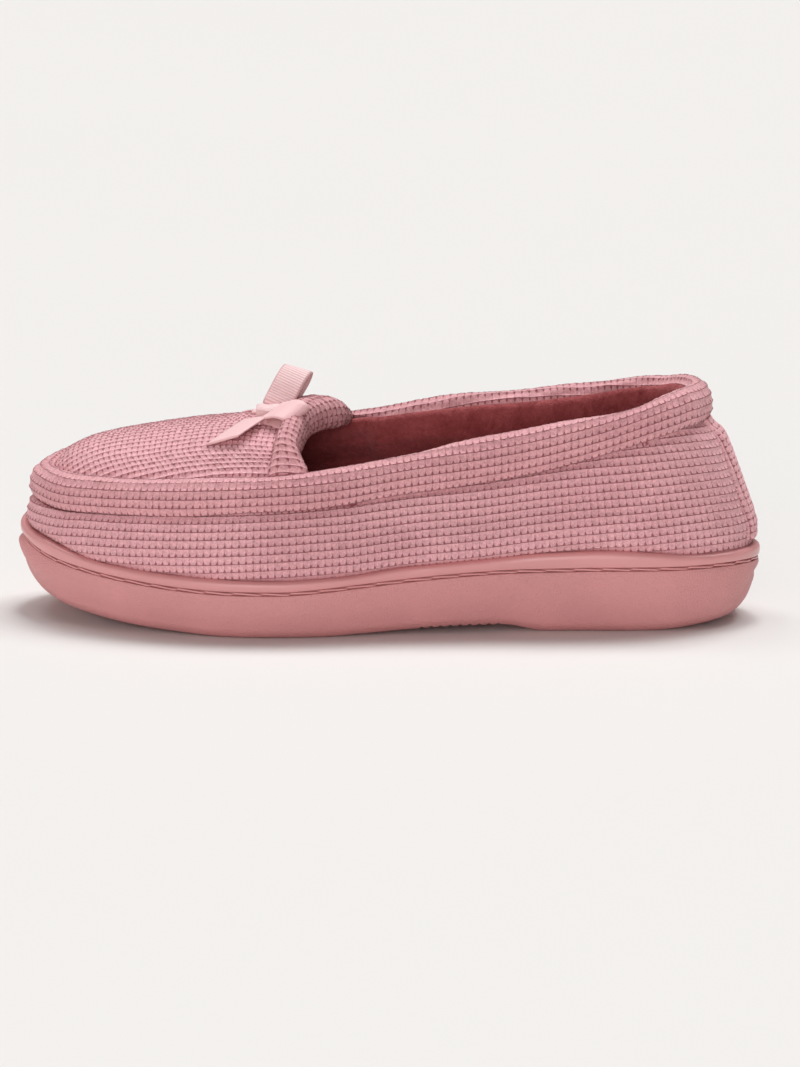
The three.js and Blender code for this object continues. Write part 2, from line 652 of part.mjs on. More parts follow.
// Throat cuff: the folded hem round the plug's rear edge, in shares of its lengths and heights
const CUFF = [
  { ahead: 0.96, over: 0.08 },
  { ahead: 1.00, over: 0.28 },
  { ahead: 0.93, over: 0.62 },
  { ahead: 0.75, over: 0.90 },
  { ahead: 0.43, over: 1.00 },
  { ahead: 0.10, over: 0.90 },
];
const CUFF_STEPS = 20;
const CUFF_FOOT = 0.035;         // share of the plug's width left clear at each end

function throatCuff() {
  const sections = [];
  for (let i = 0; i <= CUFF_STEPS; i += 1) {
    const across = THREE.MathUtils.lerp(CUFF_FOOT, 1 - CUFF_FOOT, i / CUFF_STEPS);
    const nearEnd = Math.min(i, CUFF_STEPS - i) / CUFF_STEPS;
    const full = THREE.MathUtils.lerp(0.45, 1, THREE.MathUtils.smoothstep(nearEnd, 0, 0.2));
    const at = (ahead, over) => {
      const { base, outward } = plugFrame(ahead, across);
      return base.addScaledVector(outward, over);
    };
    const under = WALL + CUFF_UNDER * full;
    const rear = CUFF_FOLD;
    const outside = CUFF.map(({ ahead, over }) => at(ahead * CUFF_LENGTH,
      Math.max(over * CUFF_HEIGHT * full, CLEARANCE)));
    const fold = [
      at(-0.6 * rear, 0.6 * CUFF_HEIGHT * full),
      at(-rear, 0.1 * CUFF_HEIGHT * full),
      at(-rear, -0.55 * under),
      at(-0.6 * rear, -0.9 * under),
      at(0.4 * rear, -under),
      at(rear, -0.8 * under),
      at(rear, -WALL - CLEARANCE * 2),
      at(-CLEARANCE * 2, -WALL - CLEARANCE * 2),
      at(-CLEARANCE * 2, CLEARANCE * 1.2),
      at(0.5 * CUFF_LENGTH, CLEARANCE * 1.2),
    ];
    sections.push([...outside, ...fold]);
  }
  return sweep(sections, false);
}

// Heel strip: a flat tape standing on the back of the panel, from the lip to the crease
const STRIP_ROWS = [0.06, 0.17, 0.33, 0.5, 0.66, 0.82, 0.96];
const STRIP_STEPS = 8;

function heelStrip() {
  const angleAt = (y, share) => {
    let low = -0.9;
    let high = 0.9;
    for (let i = 0; i < 40; i += 1) {
      const middle = (low + high) / 2;
      if (panelPoint(middle, share).y < y) low = middle;
      else high = middle;
    }
    return (low + high) / 2;
  };
  const sections = STRIP_ROWS.map((share) => {
    const half = (STRIP_WIDTH / 2) * THREE.MathUtils.lerp(1, STRIP_TOP_SHARE, share);
    const ys = Array.from({ length: STRIP_STEPS + 1 }, (_, j) => half * ((2 * j) / STRIP_STEPS - 1));
    const angles = ys.map((y) => angleAt(y, share));
    const under = angles.map((a) => panelPoint(a, share, -CLEARANCE));
    const rounded = (j) => (j === 0 || j === STRIP_STEPS ? 0.55 : 1);
    const over = angles.map((a, j) => panelPoint(a, share, -CLEARANCE - STRIP_THICKNESS * rounded(j)));
    return [...under, ...over.reverse()];
  });
  return sweep(sections, false);
}

// Ribbon: a strip of even thickness along a way, its width along a given direction at each point
function ribbon(way, closed) {
  const points = way.map(({ at }) => new THREE.Vector3(...at));
  const sections = points.map((point, i) => {
    const before = points[closed ? (i + points.length - 1) % points.length : Math.max(i - 1, 0)];
    const after = points[closed ? (i + 1) % points.length : Math.min(i + 1, points.length - 1)];
    const run = after.clone().sub(before).normalize();
    const across = new THREE.Vector3(...way[i].across);
    across.addScaledVector(run, -across.dot(run)).setLength(RIBBON_WIDTH / 2);
    const thick = run.clone().cross(across).setLength(RIBBON / 2);
    const corner = (u, v) => point.clone().addScaledVector(across, u).addScaledVector(thick, v);
    return [corner(-1, -1), corner(1, -1), corner(1, 1), corner(-1, 1)];
  });
  return sweep(sections, closed);
}

// Point above the plug: ahead of the throat's edge, to the lateral side, and lifted off the surface
function onPlug(ahead, sideways, lift) {
  const width = plugPoint(0, 0).distanceTo(plugPoint(0, 1));
  let across = 0.5;
  for (let i = 0; i < 8; i += 1) across += (plugFrame(ahead, across).base.y - sideways) / width;
  const { base, outward } = plugFrame(ahead, across);
  return base.addScaledVector(outward, lift);
}

const BOW_AHEAD = 20.2;          // of the throat's edge
const WRAP_LENGTH = 8.1;
const WRAP_WIDTH = 8.4;
const WRAP_HEIGHT = 5.4;
const RIBBON_LIFT = 1.3;         // tails' middle above the plug

// Bow's centre wrap: a flat ribbon drawn tight round the loops' ends
const WRAP_SECTION = [
  [-0.42, 0.0], [0.42, 0.0], [0.5, 0.2], [0.5, 0.66], [0.38, 0.92], [0.14, 1.0],
  [-0.14, 1.0], [-0.38, 0.92], [-0.5, 0.66], [-0.5, 0.2],
];

function bowWrap() {
  const middle = onPlug(BOW_AHEAD, 0, 0);
  const sections = [-0.5, -0.36, 0.36, 0.5].map((share) => {
    const x = middle.x + share * WRAP_LENGTH;
    const small = Math.abs(share) === 0.5 ? 0.9 : 1;
    return WRAP_SECTION.map(([u, v]) => {
      const lift = CLEARANCE * 2 + WRAP_HEIGHT * (v * small + (1 - small) / 2);
      return new THREE.Vector3(x, middle.y + u * WRAP_WIDTH * small, middle.z + lift);
    });
  });
  return sweep(sections, false);
}

// Loop seen along its width: from its root out to the fold and back, in shares of its length and height
const LOOP = [
  { out: 0.00, up: 0.16 },
  { out: 0.25, up: 0.34 },
  { out: 0.55, up: 0.50 },
  { out: 0.80, up: 0.46 },
  { out: 0.95, up: 0.26 },
  { out: 1.00, up: 0.00 },
  { out: 0.95, up: -0.26 },
  { out: 0.80, up: -0.46 },
  { out: 0.55, up: -0.50 },
  { out: 0.25, up: -0.34 },
  { out: 0.00, up: -0.16 },
];

// Loop of ribbon: root and fold are placed from the middle of the bow, in ribbon widths
function bowLoop({ root, fold, across, height }) {
  const middle = onPlug(BOW_AHEAD, 0, 0);
  const start = middle.clone().addScaledVector(new THREE.Vector3(...root), RIBBON_WIDTH);
  const way = new THREE.Vector3(...fold).sub(new THREE.Vector3(...root)).multiplyScalar(RIBBON_WIDTH);
  const width = new THREE.Vector3(...across).normalize();
  const up = width.clone().cross(way).setLength(height * RIBBON_WIDTH);
  const points = LOOP.map((row) => ({
    at: start.clone().addScaledVector(way, row.out).addScaledVector(up, row.up).toArray(),
    across,
  }));
  return ribbon(points, true);
}

const UPRIGHT_LOOP = {
  root: [-0.16, -0.54, 0.52],
  fold: [-0.86, -1.3, 1.66],
  across: [0.95, -0.21, 0.23],
  height: 0.5,
};
const FRONT_LOOP = {
  root: [-0.07, 0.54, 0.54],
  fold: [-0.75, 1.26, 0.84],
  across: [0.83, 0.2, -0.5],
  height: 0.46,
};

// Tails: ways over the plug from the wrap, ahead of the bow's middle and to the side, as shares of
// the ball width
const FRONT_TAIL = [
  { ahead: 0.037, side: 0.061 },
  { ahead: 0.057, side: 0.114 },
  { ahead: 0.080, side: 0.159 },
  { ahead: 0.111, side: 0.202 },
  { ahead: 0.141, side: 0.237 },
  { ahead: 0.172, side: 0.267 },
];
const BACK_TAIL = [
  { ahead: 0.037, side: -0.061 },
  { ahead: 0.063, side: -0.109 },
  { ahead: 0.098, side: -0.148 },
  { ahead: 0.139, side: -0.178 },
  { ahead: 0.183, side: -0.202 },
];

function bowTail(rows, twist) {
  const last = rows.length - 1;
  const place = (i, lift) => {
    const row = rows[THREE.MathUtils.clamp(i, 0, last)];
    return onPlug(BOW_AHEAD + row.ahead * BALL_WIDTH, row.side * BALL_WIDTH, lift);
  };
  const way = rows.map((_, i) => {
    const tilt = (twist * i) / last;
    const at = place(i, RIBBON_LIFT + tilt * RIBBON_WIDTH * 0.5);
    const run = place(i + 1, 0).sub(place(i - 1, 0)).normalize();
    const outward = place(i, 1).sub(place(i, 0));
    const across = outward.clone().cross(run).normalize().addScaledVector(outward, tilt);
    return { at: at.toArray(), across: across.toArray() };
  });
  return ribbon(way, false);
}

// Material looks
const LOOKS = {
  rubber: { color: '#c18484', roughness: 0.55 },
  fabric: { color: '#c28d91', roughness: 0.95 },
  lining: { color: '#9a4f50', roughness: 1.0 },
  ribbon: { color: '#dcadae', roughness: 0.6 },
};

function piece(name, geometry, look) {
  geometry.computeVertexNormals();
  const mesh = new THREE.Mesh(geometry, new THREE.MeshStandardMaterial({ ...LOOKS[look], metalness: 0 }));
  mesh.name = name;
  return mesh;
}

const slipper = new THREE.Group();
slipper.add(
  piece('sole_unit', soleUnit(), 'rubber'),
  piece('insole', insole(), 'lining'),
  piece('upper', upper(), 'fabric'),
  piece('padded_band', paddedBand(), 'fabric'),
  piece('throat_cuff', throatCuff(), 'fabric'),
  piece('heel_strip', heelStrip(), 'fabric'),
  piece('bow_wrap', bowWrap(), 'ribbon'),
  piece('bow_loop_upright', bowLoop(UPRIGHT_LOOP), 'ribbon'),
  piece('bow_loop_front', bowLoop(FRONT_LOOP), 'ribbon'),
  piece('bow_tail_front', bowTail(FRONT_TAIL, 0.25), 'ribbon'),
  piece('bow_tail_back', bowTail(BACK_TAIL, 0.1), 'ribbon'),
);

export default slipper;
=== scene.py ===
"""Left moccasin slipper in ribbed plush on a moulded rubber sole, in a pale studio.

Sizes are in millimetres, and each piece's vertices are set in metres.
+X goes to the toe, +Y to the outer side of the foot, +Z up.
"""

import math

import bpy
import numpy as np
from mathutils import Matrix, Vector


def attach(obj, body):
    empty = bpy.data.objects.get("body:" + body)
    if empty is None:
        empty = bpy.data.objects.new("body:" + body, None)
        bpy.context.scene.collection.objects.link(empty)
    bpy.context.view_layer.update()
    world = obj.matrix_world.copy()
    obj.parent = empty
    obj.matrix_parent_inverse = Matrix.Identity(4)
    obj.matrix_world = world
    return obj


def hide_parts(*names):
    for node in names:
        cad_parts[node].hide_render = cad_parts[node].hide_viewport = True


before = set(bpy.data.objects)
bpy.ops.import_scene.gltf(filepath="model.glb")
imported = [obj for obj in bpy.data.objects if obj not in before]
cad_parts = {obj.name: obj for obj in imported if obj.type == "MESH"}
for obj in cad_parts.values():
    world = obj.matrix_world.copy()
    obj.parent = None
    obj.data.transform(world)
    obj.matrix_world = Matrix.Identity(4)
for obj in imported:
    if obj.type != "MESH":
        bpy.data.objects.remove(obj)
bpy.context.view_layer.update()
bpy.ops.object.select_all(action="DESELECT")

MM = 0.001

# Shoe
LENGTH = 250.0
BALL_WIDTH = 92.0
COLLAR_HEIGHT = 80.3
INSTEP_SHARE = 0.832
SOLE_HEIGHT = 28.0
HEEL_RADIUS = 18.0
TOE_RADIUS = 24.0
HEEL_LEAN = 15.0
SIDE_LEAN = 5.5
LEAN_REACH = 0.4
WALL = 2.4
CLEARANCE = 0.3
PAD = 3.1
BULGE = 1.2
SEAM_SET = 3.8
SEAM_DROP = 0.14
RIM_DROP = 0.29
TUCK = 3.2
FOOT_SET = 1.2
SHOULDER = 1.0
CREASE_FOLLOW = 0.85
CUP_DEPTH = 7.0
INSOLE_THICKNESS = 4.8
INSOLE_ROUND = 1.4
EDGE_ROUND = 3.0
WALL_TAPER = 2.3
CUFF_LENGTH = 13.8
CUFF_HEIGHT = 4.9
CUFF_FOLD = 3.2
CUFF_UNDER = 3.6
STRIP_WIDTH = 18.0
STRIP_THICKNESS = 2.2
STRIP_TOP_SHARE = 0.86
RIBBON_WIDTH = 10.0
RIBBON = 0.8
BOW_AHEAD = 20.2

# Ribbed plush: a row is one rib, a cell is one tuft of it
ROW = 2.72
CELL = 2.36
CELL_STEPS = (0.0, 0.12, 0.5, 0.88)
ROW_STEPS = (0.0, 0.1, 0.32, 0.68, 0.9)
PLUSH_BACK = 1.2


def table(names, rows):
    return dict(zip(names.split(), np.array(rows, float).T))


# Every table's rows go by their share of the length, and `along` runs smoothly between them

# Sole's outline: centre line and half width as shares of the ball width
OUTLINE = table("at centre half", [
    (0, 0, 0), (0.03, 0, 0.185), (0.06, 0, 0.254), (0.1, 0.003, 0.306), (0.16, 0.005, 0.334),
    (0.25, 0.014, 0.335), (0.35, 0.034, 0.33), (0.45, 0.048, 0.36), (0.55, 0.045, 0.422),
    (0.62, 0.027, 0.473), (0.7, 0, 0.5), (0.78, -0.02, 0.476), (0.86, -0.042, 0.417),
    (0.92, -0.056, 0.332), (0.96, -0.066, 0.243), (1, -0.072, 0),
])

# Rolled band: crease and both sides' crests as shares of the collar's height; share of the lean
BAND = table("at crease lateral medial lean", [
    (0, 0.856, 1, 1, 0.545), (0.03, 0.857, 0.999, 0.994, 0.62), (0.07, 0.84, 0.985, 0.976, 0.745),
    (0.12, 0.807, 0.95, 0.968, 0.89), (0.17, 0.766, 0.914, 0.955, 0.96),
    (0.23, 0.72, 0.882, 0.935, 1), (0.3, 0.673, 0.848, 0.917, 1), (0.37, 0.636, 0.808, 0.899, 1),
    (0.44, 0.61, 0.76, 0.867, 1), (0.5, 0.582, 0.725, 0.829, 1), (0.55, 0.56, 0.699, 0.8, 1),
    (0.61, 0.544, 0.676, 0.76, 0.98), (0.68, 0.531, 0.66, 0.724, 0.945),
    (0.76, 0.514, 0.644, 0.704, 0.89), (0.84, 0.499, 0.629, 0.69, 0.835),
    (0.9, 0.487, 0.621, 0.672, 0.78), (0.95, 0.477, 0.61, 0.646, 0.71),
    (1, 0.493, 0.61, 0.61, 0.67),
])

# Sole from the side, as shares of its height
SOLE_SIDE = table("at ground groove lip", [
    (0, 0.464, 0.732, 0.9), (0.01, 0.343, 0.746, 0.904), (0.02, 0.221, 0.757, 0.907),
    (0.04, 0.114, 0.768, 0.914), (0.07, 0.057, 0.775, 0.921), (0.11, 0.018, 0.779, 0.943),
    (0.15, 0, 0.779, 0.975), (0.21, 0, 0.779, 1), (0.29, 0, 0.764, 0.975),
    (0.345, 0.075, 0.75, 0.925), (0.41, 0.071, 0.721, 0.879), (0.48, 0.043, 0.671, 0.829),
    (0.54, 0.014, 0.625, 0.757), (0.58, 0, 0.593, 0.732), (0.64, 0, 0.561, 0.711),
    (0.71, 0, 0.561, 0.718), (0.78, 0.032, 0.586, 0.743), (0.84, 0.071, 0.632, 0.779),
    (0.89, 0.125, 0.679, 0.821), (0.93, 0.193, 0.732, 0.893), (0.96, 0.286, 0.786, 0.957),
    (0.98, 0.393, 0.843, 0.979), (0.992, 0.5, 0.889, 1), (1, 0.625, 0.921, 1.011),
])

# Toe plug's top along its middle, as shares of the instep's height
PLUG_RIDGE = table("at height", [
    (0.56, 1), (0.65, 0.996), (0.7, 0.984), (0.76, 0.96), (0.81, 0.931), (0.86, 0.898),
    (0.9, 0.861), (0.93, 0.816), (0.955, 0.74),
])

# Side panel, by the share of its height from the lip to the crease: shares of the lean and tuck
PANEL = table("at lean tuck", [
    (0, 0.08, 1), (0.06, 0.13, 0.62), (0.17, 0.2, 0.15), (0.33, 0.31, 0), (0.5, 0.44, 0),
    (0.66, 0.58, 0), (0.82, 0.74, 0), (1, 1, 0),
])

# How far the panel's first rib lies below the crease, which rises across the ribs to the heel
FIRST_RIB = table("at below", [
    (0, 15.5), (0.026, 14.5), (0.066, 12.2), (0.134, 8.7), (0.215, 5.1), (0.297, 3), (0.405, 2),
    (0.514, 0.8), (0.622, 0), (0.9, 0), (0.95, 0.8), (1, 2.5),
])


def along(source, column, place):
    """Value of a table's column: smooth, and with no overshoot between rows."""
    at, value = source["at"], source[column]
    rise = np.diff(value) / np.diff(at)
    before, after = rise[:-1], rise[1:]
    same = before * after > 0
    middle = np.where(same, 2 * before * after / np.where(same, before + after, 1), 0)
    slope = np.concatenate([rise[:1], middle, rise[-1:]])
    where = np.clip(place, at[0], at[-1])
    k = np.clip(np.searchsorted(at, where) - 1, 0, len(rise) - 1)
    span = at[k + 1] - at[k]
    t = (where - at[k]) / span
    blend = 3 * t**2 - 2 * t**3
    bend = (t**3 - 2 * t**2 + t) * slope[k] + (t**3 - t**2) * slope[k + 1]
    return value[k] + (value[k + 1] - value[k]) * blend + bend * span


def unit(v):
    return v / np.maximum(np.linalg.norm(v, axis=-1, keepdims=True), 1e-12)


def point(x, y, z):
    return np.stack(np.broadcast_arrays(x, y, z), -1).astype(float)


def mix(a, b, t):
    return a + (b - a) * t


def ease(value, low, high):
    t = np.clip((value - low) / (high - low), 0, 1)
    return t * t * (3 - 2 * t)


# An angle goes round the shoe: 0 at the heel, the outer side, pi at the toe, the inner side
def station(angle):
    return (1 - np.cos(angle)) / 2


def angle_at(share):
    return math.acos(1 - 2 * share)


def fullness():
    at = OUTLINE["at"]
    width = np.empty_like(at)
    width[1:-1] = OUTLINE["half"][1:-1] * BALL_WIDTH / (2 * np.sqrt(at[1:-1] * (1 - at[1:-1])))
    width[0] = math.sqrt(HEEL_RADIUS * LENGTH / 2)
    width[-1] = math.sqrt(TOE_RADIUS * LENGTH / 2)
    return {"at": at, "width": width}


FULLNESS = fullness()


def centre_at(share):
    return BALL_WIDTH * along(OUTLINE, "centre", share)


def outline(angle):
    share = station(angle)
    y = centre_at(share) + along(FULLNESS, "width", share) * np.sin(angle)
    return point(LENGTH * (share - 0.5), y, 0)


def inset_from(line, angle, inset, height):
    """Points set in from a line round the shoe, square to it."""
    step = 1e-3
    run = unit(line(angle + step) - line(angle - step))
    foot = line(angle)
    return point(foot[..., 0] + run[..., 1] * inset, foot[..., 1] - run[..., 0] * inset, height)


def rim(angle, inset, height=0.0):
    return inset_from(outline, angle, inset, height)


SIDE_BLEND = 0.1                 # softness of the change from one side's height to the other's


def lateral_share(angle):
    q = np.sin(angle)
    return 0.5 + 0.5 * q * math.sqrt(1 + SIDE_BLEND) / np.sqrt(q * q + SIDE_BLEND)


def lip_height(angle):
    return SOLE_HEIGHT * along(SOLE_SIDE, "lip", station(angle))


def groove_height(angle):
    return SOLE_HEIGHT * along(SOLE_SIDE, "groove", station(angle))


def ground_height(x):
    return SOLE_HEIGHT * along(SOLE_SIDE, "ground", x / LENGTH + 0.5)


def bed_height(x):
    return SOLE_HEIGHT * along(SOLE_SIDE, "lip", x / LENGTH + 0.5) - CUP_DEPTH


def side_lean(angle):
    return SIDE_LEAN * along(BAND, "lean", station(angle))


def heel_lean(angle):
    return HEEL_LEAN * np.maximum(1 - station(angle) / LEAN_REACH, 0) ** 2


def crest_height(angle):
    share, side = station(angle), lateral_share(angle)
    outer, inner = along(BAND, "lateral", share), along(BAND, "medial", share)
    return COLLAR_HEIGHT * (side * outer + (1 - side) * inner)


def crease_height(angle):
    share = station(angle)
    rise = crest_height(angle) - COLLAR_HEIGHT * along(BAND, "lateral", share)
    return COLLAR_HEIGHT * along(BAND, "crease", share) + CREASE_FOLLOW * rise


def crease_line(angle):
    line = rim(angle, side_lean(angle))
    line[..., 0] += heel_lean(angle)
    return line


def inside_crease(angle, inset, height):
    return inset_from(crease_line, angle, inset, height)


WALL_SET = PAD - BULGE + CLEARANCE
SEAM_INSET = WALL_SET + WALL / 2 + SEAM_SET
THROAT_LATERAL = angle_at(0.604)
THROAT_MEDIAL = math.tau - angle_at(0.56)
THROAT_CLEAR = 0.02
SEAM_FADE = 0.05
LEG_FADE = 0.05


def toe_share(angle, behind, span):
    a = np.mod(angle, math.tau)
    ahead = np.minimum(a - THROAT_LATERAL, THROAT_MEDIAL - a)
    return ease(ahead, -behind - span, -behind)


def seam_share(angle):
    return toe_share(angle, THROAT_CLEAR, SEAM_FADE)


def leg_share(angle):
    return toe_share(angle, THROAT_CLEAR + SEAM_FADE, LEG_FADE)


def foot_inset(angle):
    return TUCK + PANEL["lean"][0] * (side_lean(angle) + heel_lean(angle))


def insole_edge(angle):
    return foot_inset(angle) + FOOT_SET + WALL + CLEARANCE


def panel_line(angle, share):
    lean = along(PANEL, "lean", share)
    line = rim(angle, lean * side_lean(angle) + TUCK * along(PANEL, "tuck", share))
    line[..., 0] += lean * heel_lean(angle)
    line[..., 2] = mix(lip_height(angle), crease_height(angle), share)
    return line


def panel_point(angle, share, depth=0.0):
    angle, share = np.broadcast_arrays(np.asarray(angle, float), np.asarray(share, float))
    step = 0.01
    round_shoe = panel_line(angle + step, share) - panel_line(angle - step, share)
    above, below = np.minimum(share + step, 1), np.maximum(share - step, 0)
    up = panel_line(angle, above) - panel_line(angle, below)
    inward = unit(np.cross(round_shoe, up))
    return panel_line(angle, share) + inward * np.asarray(depth)[..., None]


def wall_top(angle, depth):
    toe = seam_share(angle)
    inset = mix(WALL_SET + depth, SEAM_INSET + depth * 0.8, toe)
    height = crest_height(angle) - crease_height(angle)
    drop = mix(RIM_DROP * height, SEAM_DROP * height + depth * 0.7, toe)
    return inside_crease(angle, inset, crest_height(angle) - drop)


PLUG_RUN_OUT = 12                # powers that shape the plug's crown
PLUG_FLATNESS = 2.2
PLUG_FULLNESS = 0.8


def ridge_height(share):
    return COLLAR_HEIGHT * INSTEP_SHARE * along(PLUG_RIDGE, "height", share)


def plug_point(forward, across, depth=0.0):
    """Toe plug: forward 0 at the throat to 1 at the toe, across 0 at the outer seam to 1."""
    forward, across = np.broadcast_arrays(np.asarray(forward, float), np.asarray(across, float))
    lateral = wall_top(mix(THROAT_LATERAL, math.pi, forward), depth)
    medial = wall_top(mix(THROAT_MEDIAL, math.pi, forward), depth)
    middle = (lateral + medial) / 2
    run_out = 1 - np.clip(forward, 0, 1) ** PLUG_RUN_OUT
    ridge = ridge_height(middle[..., 0] / LENGTH + 0.5)
    crown = run_out * np.maximum(ridge - depth - middle[..., 2], 0)
    place = mix(lateral, medial, across[..., None])
    arch = np.maximum(1 - np.abs(2 * across - 1) ** PLUG_FLATNESS, 0) ** PLUG_FULLNESS
    place[..., 2] += crown * arch
    return place


def plug_frame(ahead, across):
    """Place on the plug at a distance ahead of the throat's edge: its point and outward way."""
    ahead, across = np.broadcast_arrays(np.asarray(ahead, float), np.asarray(across, float))
    step = 0.01
    rate = np.linalg.norm(plug_point(step, across) - plug_point(0, across), axis=-1) / step
    share = np.maximum(ahead, 0) / rate
    base = plug_point(share, across)
    forward = unit(plug_point(share + step, across) - base)
    inner, outer = np.minimum(across + step, 1), np.maximum(across - step, 0)
    side = plug_point(share, inner) - plug_point(share, outer)
    outward = unit(np.cross(side, forward))
    outward *= np.where(outward[..., 2:] < 0, -1, 1)
    base = base + forward * np.minimum(ahead, 0)[..., None]
    return base, outward


def on_plug(ahead, sideways, lift):
    """Point over the plug, given its distance to the outer side and its height above the plug."""
    width = np.linalg.norm(plug_point(0, 0) - plug_point(0, 1))
    across = 0.5
    for _ in range(8):
        across += (plug_frame(ahead, across)[0][..., 1] - sideways) / width
    base, outward = plug_frame(ahead, across)
    return base + outward * lift


# Ways of making


def run_along(line):
    """Each point's distance along its line of points."""
    steps = np.linalg.norm(np.diff(line, axis=-2), axis=-1)
    return np.concatenate([np.zeros(steps.shape[:-1] + (1,)), np.cumsum(steps, -1)], -1)


def resample(lines, run, wanted):
    """Lines of points again, with their points at wanted places in the run."""
    run = np.broadcast_to(run, lines.shape[:2])
    wanted = np.broadcast_to(wanted, (len(lines), np.shape(wanted)[-1]))
    place = np.empty(wanted.shape + (3,))
    for i, line in enumerate(lines):
        for axis in range(3):
            place[i, :, axis] = np.interp(wanted[i], run[i], line[:, axis])
    return place


def turned(lines):
    """Rows of points as columns."""
    return lines.transpose(1, 0, 2)


def spaced(line, params, pitch=CELL, steps=CELL_STEPS):
    """Parameters at even cells along a line of points, several to a cell, and the cell counts."""
    run = run_along(line)
    count = max(round(run[-1] / pitch), 1)
    cells = np.array([k + s for k in range(count) for s in steps] + [count], float)
    return np.interp(cells * run[-1] / count, run, params), cells


def smooth_line(corners, steps, closed=False):
    """A smooth line through corner points, several steps to each span."""
    if closed:
        corners = np.concatenate([corners, corners[:, :1]], 1)
        first, last = corners[:, -2:-1], corners[:, 1:2]
    else:
        first, last = 2 * corners[:, :1] - corners[:, 1:2], 2 * corners[:, -1:] - corners[:, -2:-1]
    knots = np.concatenate([first, corners, last], 1)
    t = (np.arange(steps) / steps)[None, None, :, None]
    a, b, c, d = (knots[:, i:knots.shape[1] - 3 + i, None] for i in range(4))
    spans = 0.5 * (2 * b + (c - a) * t + (2 * a - 5 * b + 4 * c - d) * t**2
                   + (3 * b - a - 3 * c + d) * t**3)
    spans = spans.reshape(len(corners), -1, 3)
    return np.concatenate([spans, corners[:, -1:]], 1)


def normals_of(form, closed):
    if closed:
        around = np.roll(form, -1, 0) - np.roll(form, 1, 0)
    else:
        around = np.gradient(form, axis=0)
    return unit(np.cross(around, np.gradient(form, axis=1)))


EDGE_FADE = 0.9                  # run over which the ribs die away at a cut edge


def drape(form, cells, start, closed=False, lift=None, side=1.0, edges=True):
    """Lays ribs on a smooth form. form holds a line of points for each column; start is the rib
    count at each line's first point. Gives the points and each one's cell and rib count."""
    normal = normals_of(form, closed) * side
    run = run_along(form)
    total = run[:, -1]
    start = np.broadcast_to(start, total.shape)
    low, high = math.floor(start.min()), math.ceil((start + total / ROW).max())
    ribs = np.array([k + s for k in range(low, high) for s in ROW_STEPS] + [high], float)
    wanted = np.clip((ribs[None, :] - start[:, None]) * ROW, 0, total[:, None])
    place, out = (resample(lines, run, wanted) for lines in (form, normal))
    counts = start[:, None] + wanted / ROW
    cell_grid = np.broadcast_to(cells[:, None], counts.shape)
    fade = np.ones_like(wanted)
    if edges:
        fade *= ease(wanted, 0, EDGE_FADE) * ease(total[:, None] - wanted, 0, EDGE_FADE)
    raised = tufts(cell_grid, counts) * fade
    if lift is not None:
        raised = raised + lift(place, out)
    return place + unit(out) * raised[..., None], np.stack([cell_grid, counts], -1)


TUFT = 0.45                      # groove's depth between two ribs
NOTCH = 0.26                     # notch's depth between two tufts at the foot of a rib
NOTCH_WIDTH = 0.09               # in cells
NOTCH_TOP = 0.25                 # share of the notch that is left at the head of a rib
RIB_FLATNESS = 3.6               # power that rounds a rib
TUFT_SPREAD = 0.14               # how unevenly the tufts stand
FUZZ = 0.28                      # how unevenly the pile ends
FUZZ_GRAIN = 25                  # spots of fuzz to a cell and to a rib


def scatter(i, j, seed):
    """Even-handed variation from 0 to 1 for each cell, the same at every run."""
    value = np.sin(i * 12.9898 + j * 78.233 + seed * 37.719) * 43758.5453
    return value - np.floor(value)


def tufts(cells, ribs):
    """Relief of the plush: rounded ribs, notched between tufts from the foot of each rib."""
    down = ribs - np.floor(ribs)
    edge = np.abs((cells + 0.5) % 1 - 0.5)
    pillow = 1 - np.abs(2 * down - 1) ** RIB_FLATNESS
    notch = np.exp(-((edge / NOTCH_WIDTH) ** 2)) * mix(NOTCH_TOP, 1, ease(down, 0.5, 0.9))
    tuft = scatter(np.floor(cells), np.floor(ribs), 1) - 0.5
    fuzz = scatter(np.rint(cells * FUZZ_GRAIN), np.rint(ribs * FUZZ_GRAIN), 2) - 0.5
    groove = (pillow - 1) * TUFT - notch * NOTCH * np.minimum(pillow + 0.25, 1)
    return groove + tuft * TUFT_SPREAD * pillow + fuzz * FUZZ


WAVES = 5


def waves(place, size, reach, seed):
    """Soft uneven swelling of padded cloth."""
    total = 0
    for k in range(WAVES):
        turn = 2.4 * k + seed
        way = np.array([math.cos(turn), math.sin(turn) * 0.6, math.sin(turn * 1.7)])
        total = total + np.sin(place @ way * (math.tau / (reach * (0.7 + 0.25 * k))) + seed * k)
    return total * size / WAVES


def folds(place, marks):
    """Listed soft troughs and ridges, each by its middle, way, length, width and rise."""
    total = np.zeros(place.shape[:-1])
    for middle, way, length, width, rise in marks:
        away = place - np.array(middle, float)
        way = np.array(way, float) / np.linalg.norm(way)
        on = away @ way
        off = np.linalg.norm(away - on[..., None] * way, axis=-1)
        total += rise * np.exp(-((on / length) ** 2) - (off / width) ** 2)
    return total


MERGE = 2e-6                     # metres


